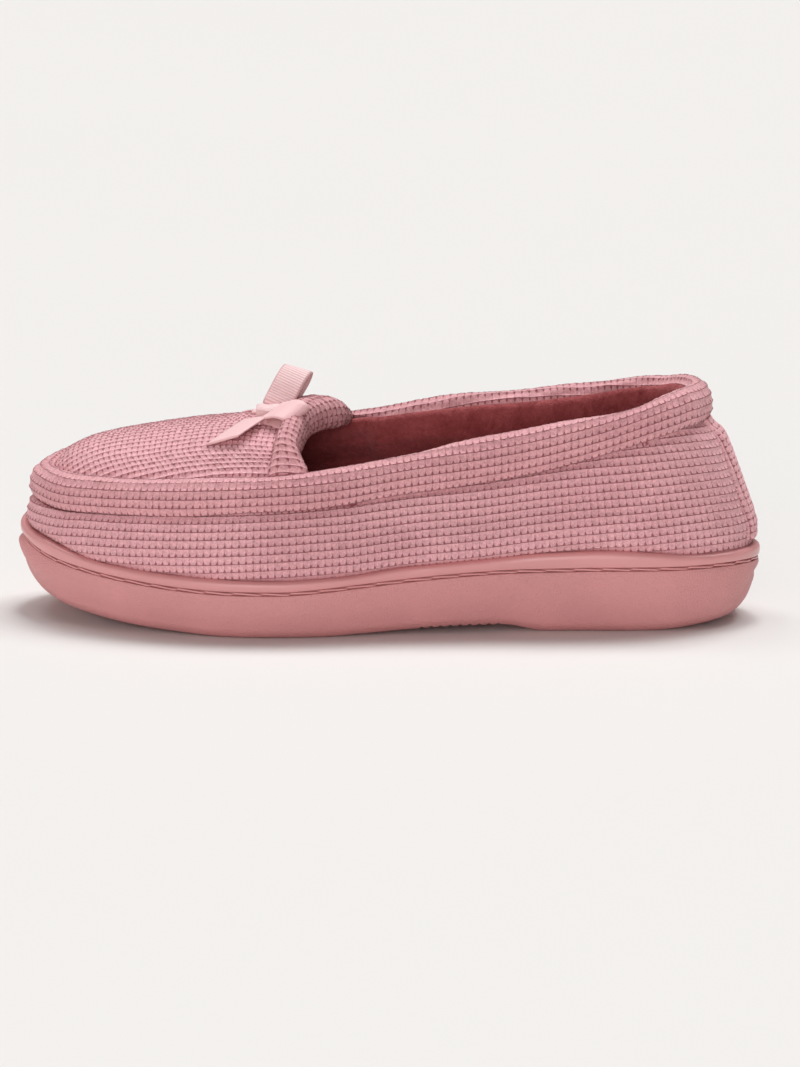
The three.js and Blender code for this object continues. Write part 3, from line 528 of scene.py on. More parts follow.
def grid_piece(name, points, uv=None, closed=False):
    """Adds a flat grid and sets its vertices on the form. points is rows by columns, uv gives
    their cells, and closed fills the open ends."""
    rows, columns = points.shape[:2]
    bpy.ops.object.select_all(action="DESELECT")
    bpy.ops.mesh.primitive_grid_add(x_subdivisions=columns - 1, y_subdivisions=rows - 1, size=1)
    piece = bpy.context.object
    piece.name = name
    mesh = piece.data
    mesh.name = name
    flat = np.empty(len(mesh.vertices) * 3, np.float32)
    mesh.vertices.foreach_get("co", flat)
    flat = flat.reshape(-1, 3)
    column = np.rint((flat[:, 0] + 0.5) * (columns - 1)).astype(int)
    row = np.rint((flat[:, 1] + 0.5) * (rows - 1)).astype(int)
    mesh.vertices.foreach_set("co", (points[row, column] * MM).astype(np.float32).ravel())
    if uv is not None:
        corner = np.empty(len(mesh.loops), np.int32)
        mesh.loops.foreach_get("vertex_index", corner)
        layer = mesh.uv_layers[0]
        layer.name = "cells"
        layer.data.foreach_set("uv", uv[row, column][corner].astype(np.float32).ravel())
    mesh.update()
    bpy.ops.object.mode_set(mode="EDIT")
    bpy.ops.mesh.select_all(action="SELECT")
    bpy.ops.mesh.remove_doubles(threshold=MERGE)
    bpy.ops.mesh.select_all(action="SELECT")
    bpy.ops.mesh.dissolve_degenerate(threshold=MERGE)
    bpy.ops.mesh.select_all(action="DESELECT")
    bpy.ops.mesh.select_non_manifold(extend=False)
    if closed:
        bpy.ops.mesh.edge_face_add()
    bpy.ops.mesh.select_all(action="SELECT")
    bpy.ops.mesh.normals_make_consistent(inside=False)
    bpy.ops.object.mode_set(mode="OBJECT")
    bpy.ops.object.shade_smooth()
    return piece


def thicken(piece, depth):
    bpy.context.view_layer.objects.active = piece
    shell = piece.modifiers.new("thickness", "SOLIDIFY")
    shell.thickness = depth * MM
    shell.offset = -1
    bpy.ops.object.modifier_apply(modifier=shell.name)


def dress(piece, material, slot, *nodes):
    piece.data.materials.clear()
    piece.data.materials.append(material)
    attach(piece, "root")
    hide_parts(*nodes)
    return piece


# Pieces


def ring_cells(line):
    """Angles at even cells along a line round the shoe, and the cell counts."""
    fine = np.linspace(0, math.tau, 2401)
    return spaced(line(fine), fine)


PANEL_FOLDS = [
    ((-53, 41, 40), (0.15, 0, 1), 9, 2.6, -0.7),
    ((-30, 42, 33), (1, 0, 0.1), 22, 3.0, 0.5),
    ((-62, 40, 34), (1, 0, 0.2), 12, 2.5, -0.5),
    ((20, 46, 25), (1, 0, -0.1), 30, 3.5, 0.4),
    ((95, 30, 27), (1, -0.5, 0.1), 12, 2.2, -0.4),
]
BAND_FOLDS = [
    ((-19, 42, 52), (0.1, 0, 1), 7, 1.8, -1.1),
    ((-16, 42, 52), (0.1, 0, 1), 7, 1.6, 0.5),
    ((-63, 36, 66), (0.3, 0, 1), 5, 1.7, -0.9),
    ((-101, 16, 74), (0.2, 0.3, 1), 6, 2.0, -1.0),
    ((27, 44, 48), (0.1, 0, 1), 5, 2.0, -0.6),
    ((-101, -20, 74), (0.2, -0.3, 1), 6, 2.0, -0.8),
    ((-30, -42, 62), (0.1, 0, 1), 7, 2.2, -0.8),
]


TOE_DRAWN_IN = 1.4               # plush at the toe's tip stands behind the sole's lip
BAND_DRAWN_IN = 0.65             # share of it that the rolled band takes
HEEL_FLARE = 1.2
WAIST_HANG = 1.9
PANEL_BELLY = 0.5
PANEL_CREASE = 1.8
PANEL_SEAT = 0.7
BEHIND_CREASE = [(4.6, 2.0), (4.0, 1.2), (3.1, 0.4)]         # inset, rise over the crease
BEHIND_RUN = 2.8
BELOW_LIP = [(0.2, 0.8), (0.5, 1.7), (0.8, 2.7)]             # inset, drop below the lip


def drawn_in(angles):
    return TOE_DRAWN_IN * ease(station(angles), 0.9, 0.99)


def flare(share):
    """How far the heel's plush swells out, at a share of the panel's height."""
    return 1 - ease(share, 0.05, 0.45)


def side_panel(material):
    angles, cells = ring_cells(lambda angle: panel_line(angle, 0.55))
    shares = np.linspace(1, 0, 49)
    at, drawn = station(angles), drawn_in(angles)
    waist = ease(at, 0.1, 0.24) * (1 - ease(at, 0.42, 0.6))
    heel = 1 - ease(at, 0.02, 0.10)
    hang = ease(shares, 0.0, 0.12) * (1 - ease(shares, 0.2, 0.62))
    belly = np.sin(math.pi * shares) * PANEL_BELLY - PANEL_CREASE * ease(shares, 0.88, 1.0)
    seat = PANEL_SEAT * (1 - ease(shares, 0.02, 0.2)) * (1 - heel[:, None])
    depth = drawn[:, None] * (1 - 0.4 * shares) - seat - WAIST_HANG * waist[:, None] * hang
    depth = depth - HEEL_FLARE * heel[:, None] * flare(shares) - belly
    form = panel_point(angles[:, None], shares[None, :], depth)
    low, foot = crease_height(angles), foot_inset(angles) + drawn
    behind = [inside_crease(angles, inset + BAND_DRAWN_IN * drawn, low + rise)
              for inset, rise in BEHIND_CREASE]
    lowest = BELOW_LIP[-1][1]
    below = [rim(angles, foot + inset - HEEL_FLARE * heel * (1 - drop / lowest),
                 lip_height(angles) - drop) for inset, drop in BELOW_LIP]
    form = np.concatenate([np.stack(behind, 1), form, np.stack(below, 1)], 1)
    start = -(along(FIRST_RIB, "below", at) + BEHIND_RUN) / ROW

    def lift(place, out):
        return folds(place, PANEL_FOLDS) + waves(place, 0.5, 60, 1.3)

    front, counts = drape(form, cells, start, closed=True, lift=lift, side=-1)
    back = panel_point(angles[:, None], np.array([0.0, 0.17, 0.33, 0.66, 1.0])[None, :],
                       PLUSH_BACK + drawn[:, None])
    loop = np.concatenate([front, back, front[:, :1]], 1)
    ends = np.repeat(counts[:, -1:], back.shape[1], 1)
    ends = np.concatenate([counts, ends, counts[:, :1]], 1)
    piece = grid_piece("side_panel", turned(loop), turned(ends))
    return dress(piece, material, "ribbed_plush", "upper")


# Roll's section over its outer side: way out in pads, and share of the band's height
ROLL_OUTSIDE = [(-0.10, 0.05), (0.50, -0.03), (0.97, 0.07), (1.10, 0.33), (0.90, 0.66),
                (0.37, 0.90)]
# Inner side: way in and share of the height, at the collar and over the throat's legs in pads,
# and at the plug's seam in seam sets
ROLL_INSIDE = [
    ((-0.387, 1.000), (-0.387, 1.000), (0.000, 1.000)),
    ((0.387, 0.920), (0.323, 0.940), (0.474, 0.985)),
    ((0.903, 0.740), (0.677, 0.870), (0.711, 0.965)),
    ((1.097, 0.560), (0.710, 0.820), (0.816, 0.945)),
    ((0.903, 0.420), (0.516, 0.785), (0.855, 0.930)),
    ((0.129, 0.420), (0.258, 0.770), (0.868, 0.915)),
]


# Gathers on the roll's inner face: share of the length, share of the band's height, length
GATHERS = [(0.47, 0.80, 7), (0.405, 0.92, 9), (0.34, 0.84, 8), (0.27, 0.93, 10), (0.21, 0.85, 8),
           (0.15, 0.93, 8)]


def collar_gathers():
    """The gathers as folds, slanting along the inner side of the foot."""
    marks = []
    for share, rise, length in GATHERS:
        angle = math.tau - angle_at(share)
        height = mix(crease_height(angle), crest_height(angle), rise)
        middle = inside_crease(angle, WALL_SET + WALL + 0.55 * PAD, height)
        marks.append((middle, (-1, 0, 0.26), length, 1.0, -0.9))
    return marks


def band_sections(angles):
    """Lines of points over the roll: from the crease over the crest to the inner edge."""
    low, high = crease_height(angles), crest_height(angles)
    leg, toe = leg_share(angles), seam_share(angles)
    back = BAND_DRAWN_IN * drawn_in(angles)
    corners = [inside_crease(angles, WALL_SET - out * PAD + back, mix(low, high, height))
               for out, height in ROLL_OUTSIDE]
    for collar, over, seam in ROLL_INSIDE:
        behind = [mix(collar[i], over[i], leg) for i in (0, 1)]
        inward = mix(WALL + behind[0] * PAD, WALL / 2 + seam[0] * SEAM_SET, toe)
        share = mix(behind[1], seam[1], toe)
        corners.append(inside_crease(angles, WALL_SET + inward + back, mix(low, high, share)))
    return smooth_line(np.stack(corners, 1), 10)


def padded_band(material):
    angles, cells = ring_cells(lambda angle: inside_crease(angle, 0, crest_height(angle)))
    form = band_sections(angles)
    marks = BAND_FOLDS + collar_gathers()

    def lift(place, out):
        return folds(place, marks) + waves(place, 0.7, 48, 0.4)

    front, counts = drape(form, cells, np.zeros(len(angles)), closed=True, lift=lift)
    counts[..., 1] *= -1
    low = crease_height(angles)
    gap = CLEARANCE * 1.2
    inward = inside_crease(angles, 1, 0) - inside_crease(angles, 0, 0)
    toe = seam_share(angles)[:, None]
    top_in, top_out = wall_top(angles, WALL), wall_top(angles, 0)
    up = np.array([0, 0, gap])
    seam = top_out - inward * gap * 0.8 + up * 0.7
    over_in = mix(top_in + inward * gap + up, seam + np.array([0, 0, 0.2]), toe)
    over_out = mix(top_out - inward * gap + up, seam, toe)
    foot = inside_crease(angles, WALL_SET - gap, low + SHOULDER + gap)
    back = np.stack([over_in, over_out, foot], 1)
    loop = np.concatenate([front, back, front[:, :1]], 1)
    uv = np.concatenate([counts, np.repeat(counts[:, -1:], 3, 1), counts[:, :1]], 1)
    piece = grid_piece("collar_band", turned(loop), turned(uv))
    dress(piece, material, "ribbed_plush_band", "padded_band")
    return piece


CUFF_FORWARD = 6.4               # by how much the throat's rear edge is drawn forward
CUFF_BACK = 2.6                  # and back again on the inner side


def cuff_set(across):
    """How far the throat's rear edge is drawn forward, from the outer side to the inner side."""
    forward = CUFF_FORWARD * mix(-0.27, 1, ease(across, -0.02, 0.2))
    return forward * (1 - ease(across, 0.42, 0.85)) - CUFF_BACK * ease(across, 0.62, 1.0)


PLUG_END = 0.995                 # share of the way to the toe where the plug's cloth ends
PLUG_SWELL = 1.3


def toe_plug(material):
    forward = np.linspace(0, PLUG_END, 240)
    middle = plug_point(forward, 0.5)
    places, cells = spaced(middle, forward)
    across = np.linspace(0.0, 1.0, 97)
    length = np.linalg.norm(np.diff(middle, axis=0), axis=1).sum()
    under_cuff = np.maximum(cuff_set(across) + 0.2, 0)[None, :] / length
    form = plug_point(places[:, None] + (1 - places[:, None]) * under_cuff, across[None, :])
    run = np.linalg.norm(np.diff(form, axis=1), axis=2).sum(1)
    start = -run / 2 / ROW

    def lift(place, out):
        share = place[..., 0] / LENGTH + 0.5
        full = ease(share, 0.62, 0.72) * (1 - ease(share, 0.93, 0.975))
        return PLUG_SWELL * full * np.clip(out[..., 2], 0, 1) ** 2 + waves(place, 0.5, 30, 2.1)

    front, counts = drape(form, cells, start, lift=lift)
    piece = grid_piece("toe_plug", turned(front), turned(counts))
    thicken(piece, PLUSH_BACK)
    return dress(piece, material, "ribbed_plush", "upper")


# Lining's lines, for the collar and for the vamp: inset, and share of the band's height
LINING_BACK = [((2.1, 0.10), (2.2, 0.10)), ((2.1, 0.36), (2.8, 0.36)), ((5.2, 0.37), (4.0, 0.50)),
               ((6.1, 0.46), (4.6, 0.62)), ((6.1, 0.62), (4.6, 0.74))]
LINING_FACE = [((5.3, 0.76), (5.0, 0.80)), ((6.3, 0.77), (6.2, 0.79)), ((7.4, 0.70), (7.2, 0.71)),
               ((8.0, 0.58), (7.2, 0.57)), ((8.1, 0.42), (6.4, 0.41)), ((7.9, 0.24), (5.4, 0.23)),
               ((7.4, 0.05), (4.6, 0.04))]
LINING_ROWS = 16                 # rows down the wall, below the band
COLLAR_SWELL = 4.4
VAMP_SWELL = 1.2
FOOT_SWELL = 0.4
WALL_SWELL = 1.4


def lining(material):
    """Plush lining: it starts on the roll's inner side, swells, and goes down to the foot bed."""
    angles = np.linspace(0, math.tau, 721)
    low, high = crease_height(angles), crest_height(angles)
    toe = leg_share(angles)

    def beside(collar, vamp):
        inset, share = (mix(collar[i], vamp[i], toe) for i in (0, 1))
        return inside_crease(angles, WALL_SET + inset, mix(low, high, share))

    grid = [panel_point(angles, share, 1.5) for share in (0.04, 0.3, 0.6, 0.97)]
    grid += [beside(*places) for places in LINING_BACK]
    rows = [beside(*places) for places in LINING_FACE]
    for k in range(1, LINING_ROWS + 1):
        down = k / LINING_ROWS
        swell = mix(mix(COLLAR_SWELL, VAMP_SWELL, toe), FOOT_SWELL, down**0.8)
        swell = swell + WALL_SWELL * math.sin(math.pi * down)
        rows.append(panel_point(angles, mix(0.93, 0.1, down), WALL + swell))
    rows = turned(smooth_line(turned(np.array(rows)), 3))
    normal = turned(normals_of(turned(rows), True))
    fade = ease(np.arange(len(rows)), 0, 12)[:, None]
    rows = rows + normal * (waves(rows, 1.0, 30, 4.0) * fade)[..., None]
    foot = rim(angles, foot_inset(angles) + FOOT_SET + WALL)
    foot[:, 2] = bed_height(foot[:, 0]) + 1.5
    outer = rim(angles, foot_inset(angles) + FOOT_SET + 1.2, foot[:, 2])
    grid += [*rows, foot, outer, grid[0]]
    piece = grid_piece("wall_lining", np.array(grid))
    return dress(piece, material, "plush_lining", "upper")


CUFF_FRONT = 2.7                 # how far the cuff's front edge is drawn back on the outer side


def throat_cuff(material):
    across = np.linspace(0.005, 0.995, 67)
    near_end = np.minimum(across, 1 - across)
    full = mix(0.45, 1, ease(near_end, 0, 0.2))
    near = 1 - ease(across, 0.035, 0.22)
    rear, under = mix(CUFF_FOLD, 0.4, near), WALL + CUFF_UNDER * full
    high = CUFF_HEIGHT * full
    front_set = CUFF_FRONT * (1 - ease(across, 0.4, 0.6))
    # Section from the front edge over the top and round the fold: ahead, and over the plug
    section = [(0.93 * CUFF_LENGTH, 0.3), (CUFF_LENGTH, 0.28 * high),
               (0.93 * CUFF_LENGTH, 0.62 * high), (0.75 * CUFF_LENGTH, 0.90 * high),
               (0.43 * CUFF_LENGTH, high), (0.10 * CUFF_LENGTH, 0.90 * high),
               (-0.6 * rear, 0.6 * high), (-rear, 0.1 * high), (-rear, -0.55 * under),
               (-0.6 * rear, -0.9 * under), (0.4 * rear, -under), (rear, -0.8 * under),
               (rear, -WALL - 0.6)]
    corners = []
    for ahead, over in section:
        forward = np.clip((ahead + rear) / (CUFF_LENGTH + rear), 0, 1)
        ahead = ahead + cuff_set(across) * (1 - forward) - front_set * forward
        base, outward = plug_frame(ahead, across)
        corners.append(base + outward * np.broadcast_to(over, across.shape)[:, None])
    lines = smooth_line(np.stack(corners, 1), 8)
    middle = lines[len(across) // 2]
    params = np.linspace(0, 1, len(middle))
    places, cells = spaced(middle, params)
    form = turned(resample(lines, params, places))
    run = np.linalg.norm(np.diff(form, axis=1), axis=2).sum(1)
    front, counts = drape(form, cells, -run / 2 / ROW, side=-1, edges=False)
    loop = np.concatenate([front, front[:1]], 0)
    counts = np.concatenate([counts, counts[-1:]], 0)
    piece = grid_piece("cuff_hem", turned(loop), turned(counts), closed=True)
    dress(piece, material, "ribbed_plush_band", "throat_cuff")
    return piece


STRIP_COLUMNS = 41


def heel_strip(material):
    rows = np.linspace(0.06, 0.99, 60)
    angles = np.linspace(-0.9, 0.9, 721)
    form = np.empty((len(rows), STRIP_COLUMNS, 3))
    for i, share in enumerate(rows):
        line = panel_point(angles, share)
        half = STRIP_WIDTH / 2 * mix(1, STRIP_TOP_SHARE, share)
        wanted = np.linspace(-half, half, STRIP_COLUMNS)
        edge = ease(1 - np.abs(wanted) / half, 0, 0.3)
        at = np.interp(wanted, line[:, 1], angles)
        out = HEEL_FLARE * flare(share) - 1.5 * ease(share, 0.84, 0.96)
        form[i] = panel_point(at, share, -CLEARANCE - out - STRIP_THICKNESS * mix(0.18, 0.8, edge))
    middle = form[::-1, STRIP_COLUMNS // 2]
    places, cells = spaced(middle, np.linspace(1, 0, len(rows)))
    even = turned(resample(turned(form), np.linspace(0, 1, len(rows)), places))
    front, counts = drape(even, cells, -STRIP_WIDTH / 2 / ROW, side=-1)
    piece = grid_piece("heel_tape", turned(front), turned(counts))
    thicken(piece, 0.7)
    return dress(piece, material, "ribbed_plush", "heel_strip")


SPINE_SHARE = 0.8                # length of the line that the sole's rows close on, to the sole's


def towards_spine(angle, inset, share, height):
    ring = rim(angle, inset)
    spine_x = LENGTH * (station(angle) - 0.5) * SPINE_SHARE
    spine_y = centre_at(spine_x / LENGTH + 0.5)
    x = mix(spine_x, ring[:, 0], share)
    return point(x, mix(spine_y, ring[:, 1], share), height(x))


BUMPER_ANGLE = math.pi + 0.36    # where the lip stands out and up before the toe
BUMPER_REACH = 0.38
TOE_SWELL = 2.6                  # how far the sole's side stands out at its two ends
HEEL_SWELL = 0.6
SIDE_SWELL = 0.35
SIDE_ROWS = 8
# Sole's groove: inset, depth where the cord is whole, and height from the groove's middle
GROOVE = [(0.62, 0.0, -0.72), (0.55, 0.4, -0.62), (0.55, 1.2, -0.50), (0.55, 1.4, 0.0),
          (0.55, 1.2, 0.50), (0.55, 0.3, 0.62), (0.42, 0.0, 0.78)]
# Sole's lip over the groove: share of its rise, and inset
LIP = [(0.12, 0.22), (0.3, 0.08), (0.5, 0.0), (0.68, 0.05), (0.82, 0.3), (0.92, 0.75),
       (0.98, 1.25), (1.0, 1.8)]


def sole(rubber, grained):
    angles = np.linspace(0, math.tau, 601)
    groove = groove_height(angles)
    lip = lip_height(angles)
    ground = ground_height(outline(angles)[:, 0])
    foot = foot_inset(angles) + drawn_in(angles)
    bumper = np.exp(-(((angles - BUMPER_ANGLE) / BUMPER_REACH) ** 2))
    cord = 1 - 0.8 * bumper
    at = station(angles)
    ends = ease(at, 0.9, 0.99) * TOE_SWELL + (1 - ease(at, 0.01, 0.08)) * HEEL_SWELL
    turn_in, turn_up = WALL_TAPER - 0.1, EDGE_ROUND * 0.8

    def ring(inset, height):
        return rim(angles, inset - 0.3 * bumper, height)

    rows = [towards_spine(angles, EDGE_ROUND * 2, s, ground_height)
            for s in (0, 0.25, 0.5, 0.75, 1)]
    for k in range(1, SIDE_ROWS):
        turn = k / SIDE_ROWS * math.pi / 2
        inset = mix(turn_in, WALL_TAPER + EDGE_ROUND, 1 - math.sin(turn)) - ends * 0.55
        line = rim(angles, inset)
        rise = turn_up * (1 - math.cos(turn))
        line[:, 2] = ground_height(line[:, 0]) + rise + 1.4 * math.sin(turn)
        rows.append(line)
    base, under = ground + turn_up + 1.4, groove - 0.85
    for k in range(SIDE_ROWS + 1):
        share = k / SIDE_ROWS
        belly = math.sin(math.pi * share)
        swell = SIDE_SWELL * belly + ends * mix(0.55, 0, share) + ends * 0.45 * belly
        rows.append(ring(mix(turn_in, 0.55, share**0.9) - swell, mix(base, under, share)))
    rows += [ring(inset + depth * cord, groove + height) for inset, depth, height in GROOVE]
    top = GROOVE[-1][2]
    rise = lip - groove - top + 4.8 * bumper
    rows += [ring(inset - 0.7 * bumper, groove + top + rise * share) for share, inset in LIP]
    rows += [
        ring(mix(1.8, foot - 0.3, 0.6), lip - 0.05 + 4.0 * bumper),
        rim(angles, foot - 0.3, lip - 0.5), rim(angles, foot, lip - 1.2),
        rim(angles, foot + 0.6, bed_height(rim(angles, foot)[:, 0])),
    ]
    inner = insole_edge(angles) + INSOLE_ROUND
    rows += [towards_spine(angles, inner, s, bed_height) for s in (1, 0.5, 0)]
    piece = grid_piece("sole_rubber", np.array(rows))
    cut_tread(piece)
    bpy.ops.object.shade_smooth_by_angle(angle=math.radians(35))
    piece.data.materials.append(rubber)
    piece.data.materials.append(grained)
    middle = np.empty(len(piece.data.polygons) * 3)
    piece.data.polygons.foreach_get("center", middle)
    middle = middle.reshape(-1, 3) / MM
    edge = np.interp(middle[:, 0], *groove_line())
    kinds = (middle[:, 2] < edge - 0.7).astype(np.int32)
    piece.data.polygons.foreach_set("material_index", kinds)
    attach(piece, "root")
    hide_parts("sole_unit")
    return piece


def groove_line():
    angles = np.linspace(0, math.pi, 400)
    return outline(angles)[:, 0], groove_height(angles)


# Tread's zones: from and to, pitch of the grooves, their share of the width, and their depth
TREAD = [(0.07, 0.29, 8.5, 0.72, 1.5), (0.35, 0.46, 3.2, 1.3, 0.85), (0.53, 0.90, 8.5, 0.72, 1.5)]
BAR_SHARE = 0.36                 # a groove's width as a share of the pitch
BLOCK_DROP = 2                   # how far the cutting blocks reach below the ground


def cut_tread(piece):
    """Grooves across the tread: blocks set along the sole are joined and cut out of it."""
    bpy.ops.object.select_all(action="DESELECT")
    blocks = []
    for start, end, pitch, reach, depth in TREAD:
        for i in range(int((end - start) * LENGTH / pitch) + 1):
            x = LENGTH * (start - 0.5) + i * pitch
            share = x / LENGTH + 0.5
            half = along(FULLNESS, "width", share) * 2 * math.sqrt(share * (1 - share)) * reach
            top = ground_height(x) + depth
            place = Vector((x, centre_at(share), (top - BLOCK_DROP) / 2)) * MM
            size = (BAR_SHARE * pitch * MM, 2 * half * MM, (top + BLOCK_DROP) * MM)
            bpy.ops.mesh.primitive_cube_add(size=1, location=place, scale=size)
            blocks.append(bpy.context.object)
    for block in blocks:
        block.select_set(True)
    bpy.context.view_layer.objects.active = blocks[0]
    bpy.ops.object.join()
    cutter = bpy.context.object
    cut = piece.modifiers.new("tread", "BOOLEAN")
    cut.operation = "DIFFERENCE"
    cut.solver = "EXACT"
    cut.object = cutter
    bpy.ops.object.select_all(action="DESELECT")
    piece.select_set(True)
    bpy.context.view_layer.objects.active = piece
    bpy.ops.object.modifier_apply(modifier=cut.name)
    bpy.data.objects.remove(cutter)


STITCH_LENGTH = 9.5
STITCH_STEPS = 16
STITCH_HALF = 0.38               # half thickness of a stitch at its middle


def sole_stitches(material):
    """Moulded stitches in the groove: long low cords laid end to end, each end under the next."""
    fine = np.linspace(0, math.tau, 3001)
    line = rim(fine, 1.25, groove_height(fine))
    steps = tuple(k / STITCH_STEPS for k in range(STITCH_STEPS))
    angles, cells = spaced(line, fine, STITCH_LENGTH, steps)
    share = cells % 1
    thick = mix(0.12, STITCH_HALF, ease(np.minimum(share, 1 - share), 0, 0.09))
    slant = (share - 0.5) * 0.5
    base = rim(angles, 0.95, groove_height(angles))
    out = unit(rim(angles, 0) - rim(angles, 1))
    rows = []
    for turn in np.linspace(0, math.tau, 9):
        rows.append(base + out * (thick * 1.2 * math.cos(turn))[:, None]
                    + np.array([0, 0, 1.0]) * (thick * math.sin(turn) + slant)[:, None])
    piece = grid_piece("sole_stitches", np.array(rows))
    return dress(piece, material, "sole_rubber", "sole_unit")


INSOLE_EDGE = [(0.4, 0.12), (0, 0.3), (0, 0.7), (0.4, 0.9), (1.4, 1.0)]      # inset, height's share
INSOLE_ROWS = 14
INSOLE_SWELL = 0.9


def insole(material):
    angles = np.linspace(0, math.tau, 301)
    edge = insole_edge(angles)

    def low(x):
        return bed_height(x) + CLEARANCE

    def top(swell):
        return lambda x: low(x) + INSOLE_THICKNESS + swell

    rows = [towards_spine(angles, edge + INSOLE_ROUND, s, low) for s in (0, 0.5, 1)]
    for inset, share in INSOLE_EDGE:
        line = rim(angles, edge + inset)
        line[:, 2] = low(line[:, 0]) + INSOLE_THICKNESS * share
        rows.append(line)
    for k in range(1, INSOLE_ROWS + 1):
        share = 1 - k / INSOLE_ROWS
        swell = INSOLE_SWELL * math.sin(math.pi / 2 * (1 - share)) ** 0.6
        line = towards_spine(angles, edge + INSOLE_ROUND, share, top(swell))
        line[:, 2] += waves(line, 0.35, 40, 0.9) * ease(1 - share, 0, 0.3)
        rows.append(line)
    piece = grid_piece("foot_bed", np.array(rows))
    dress(piece, material, "plush_lining", "insole")
    return piece


# Bow


RIBBON_STEPS = 12


def ribbon_piece(name, way, across, material, closed=False, cut=0.0):
    """A strip of ribbon along a smooth way. across gives its width's direction at each corner,
    and cut is the slant of its free end. Gives the piece and its length."""
    line, turn = (smooth_line(np.array(corners, float)[None], RIBBON_STEPS, closed)[0]
                  for corners in (way, across))
    run = unit(np.gradient(line, axis=0))
    if closed:
        run[0] = run[-1] = unit(line[1] - line[-2])
    turn = turn - run * np.sum(turn * run, 1, keepdims=True)
    turn = unit(turn) * RIBBON_WIDTH / 2
    thick = unit(np.cross(run, turn)) * RIBBON / 2
    sides = np.linspace(-1, 1, 13)
    lengths = run_along(line)
    rows, uv = [], []
    slant = ease(lengths, lengths[-1] * 0.35, lengths[-1])
    for face in (1, -1):
        for side in sides[::face]:
            edge = 1 - 0.35 * abs(side) ** 8
            shift = slant * cut * side
            rows.append(line + turn * side + thick * face * edge + run * shift[:, None])
            uv.append(point(lengths + shift, side * RIBBON_WIDTH / 2, 0)[:, :2])
    rows.append(rows[0])
    uv.append(uv[0])
    piece = grid_piece(name, np.array(rows), np.array(uv), closed=not closed)
    dress(piece, material, "ribbon", "bow_" + name)
    return piece, lengths[-1]


# A loop of ribbon from the side: out to its fold and back, and up
LOOP = [(0.00, 0.16), (0.25, 0.34), (0.55, 0.50), (0.80, 0.46), (0.95, 0.26), (1.00, 0.00),
        (0.95, -0.26), (0.80, -0.46), (0.55, -0.50), (0.25, -0.34), (0.00, -0.16)]


def loop_way(root, fold, across, height):
    """A loop from its root to its fold, both given in ribbon widths from the bow's middle."""
    middle = on_plug(BOW_AHEAD, 0, 0)
    start = middle + np.array(root) * RIBBON_WIDTH
    way = (np.array(fold) - np.array(root)) * RIBBON_WIDTH
    up = unit(np.cross(unit(np.array(across)), way)) * height * RIBBON_WIDTH
    points = [start + way * out + up * rise for out, rise in LOOP]
    return points, [across] * len(points)


# Tails laid on the plug: ahead of the bow and to the outer side, as shares of the ball width
FRONT_TAIL = [(0.037, 0.061), (0.050, 0.098), (0.068, 0.135), (0.093, 0.175), (0.122, 0.213)]
BACK_TAIL = [(0.030, -0.060), (0.045, -0.115), (0.070, -0.165), (0.100, -0.205), (0.135, -0.240)]


def tail_way(rows, twist):
    """A tail that lies on the plug, and turns up at one edge by its twist."""
    last = len(rows) - 1

    def place(i, lift):
        ahead, side = rows[min(max(i, 0), last)]
        return on_plug(BOW_AHEAD + ahead * BALL_WIDTH, side * BALL_WIDTH, lift)

    way, across = [], []
    for i in range(last + 1):
        tilt = twist * mix(0.6, 1, i / last)
        way.append(place(i, 0.7 + tilt / math.hypot(1, tilt) * RIBBON_WIDTH * 0.5))
        run = unit(place(i + 1, 0) - place(i - 1, 0))
        outward = place(i, 1) - place(i, 0)
        across.append(unit(np.cross(outward, run)) + outward * tilt)
    return way, across


def bow(material, smooth):
    way, across = loop_way((-0.28, -0.54, 0.32), (-0.96, -1.3, 1.42), (0.95, -0.21, 0.23), 0.5)
    upright, length = ribbon_piece("loop_upright", way, across, material, closed=True)
    way, across = loop_way((-0.18, 0.56, 0.26), (-1.03, 1.27, 0.33), (0.75, 0.45, -0.48), 0.42)
    front, length = ribbon_piece("loop_front", way, across, smooth, closed=True)
    for name, rows, twist, cut in (("tail_front", FRONT_TAIL, 0.34, -3.2),
                                   ("tail_back", BACK_TAIL, 0.0, 2.5)):
        way, across = tail_way(rows, twist)
        tail, length = ribbon_piece(name, way, across, smooth, cut=cut)


WRAP_LENGTH = 8.1
WRAP_WIDTH = 8.4
WRAP_HEIGHT = 3.9
WRAP_LIFT = 0.4
WRAP_SECTION = [(-0.42, 0.0), (0.42, 0.0), (0.5, 0.2), (0.5, 0.66), (0.38, 0.92), (0.14, 1.0),
                (-0.14, 1.0), (-0.38, 0.92), (-0.5, 0.66), (-0.5, 0.2)]


def bow_wrap(material):
    middle = on_plug(BOW_AHEAD, 0, 0)
    corners = np.array(WRAP_SECTION + WRAP_SECTION[:1])
    corners = np.concatenate([corners, np.zeros((len(corners), 1))], 1)
    section = smooth_line(corners[None], 6)[0]
    rows, uv = [], []
    girth = run_along(section) * 8
    for share in np.linspace(-0.5, 0.5, 25):
        small = 1 - 0.1 * abs(2 * share) ** 6
        pinch = 1 - 0.05 * math.cos(share * math.pi * 3)
        high = WRAP_LIFT + WRAP_HEIGHT * (section[:, 1] * small * pinch + (1 - small) / 2)
        ahead = share * WRAP_LENGTH
        rows.append(point(middle[0] + ahead, middle[1] + section[:, 0] * WRAP_WIDTH * small,
                          middle[2] + high))
        uv.append(np.stack([girth, np.full_like(girth, ahead)], 1))
    piece = grid_piece("wrap_ribbon", np.array(rows), np.array(uv), closed=True)
    return dress(piece, material, "ribbon", "bow_wrap")


# Materials


def tone(red, green, blue):
    """A colour as it looks on a screen, from 0 to 255, as Blender's linear values."""
    def linear(value):
        share = value / 255
        return share / 12.92 if share <= 0.04045 else ((share + 0.055) / 1.055) ** 2.4
    return (linear(red), linear(green), linear(blue), 1.0)


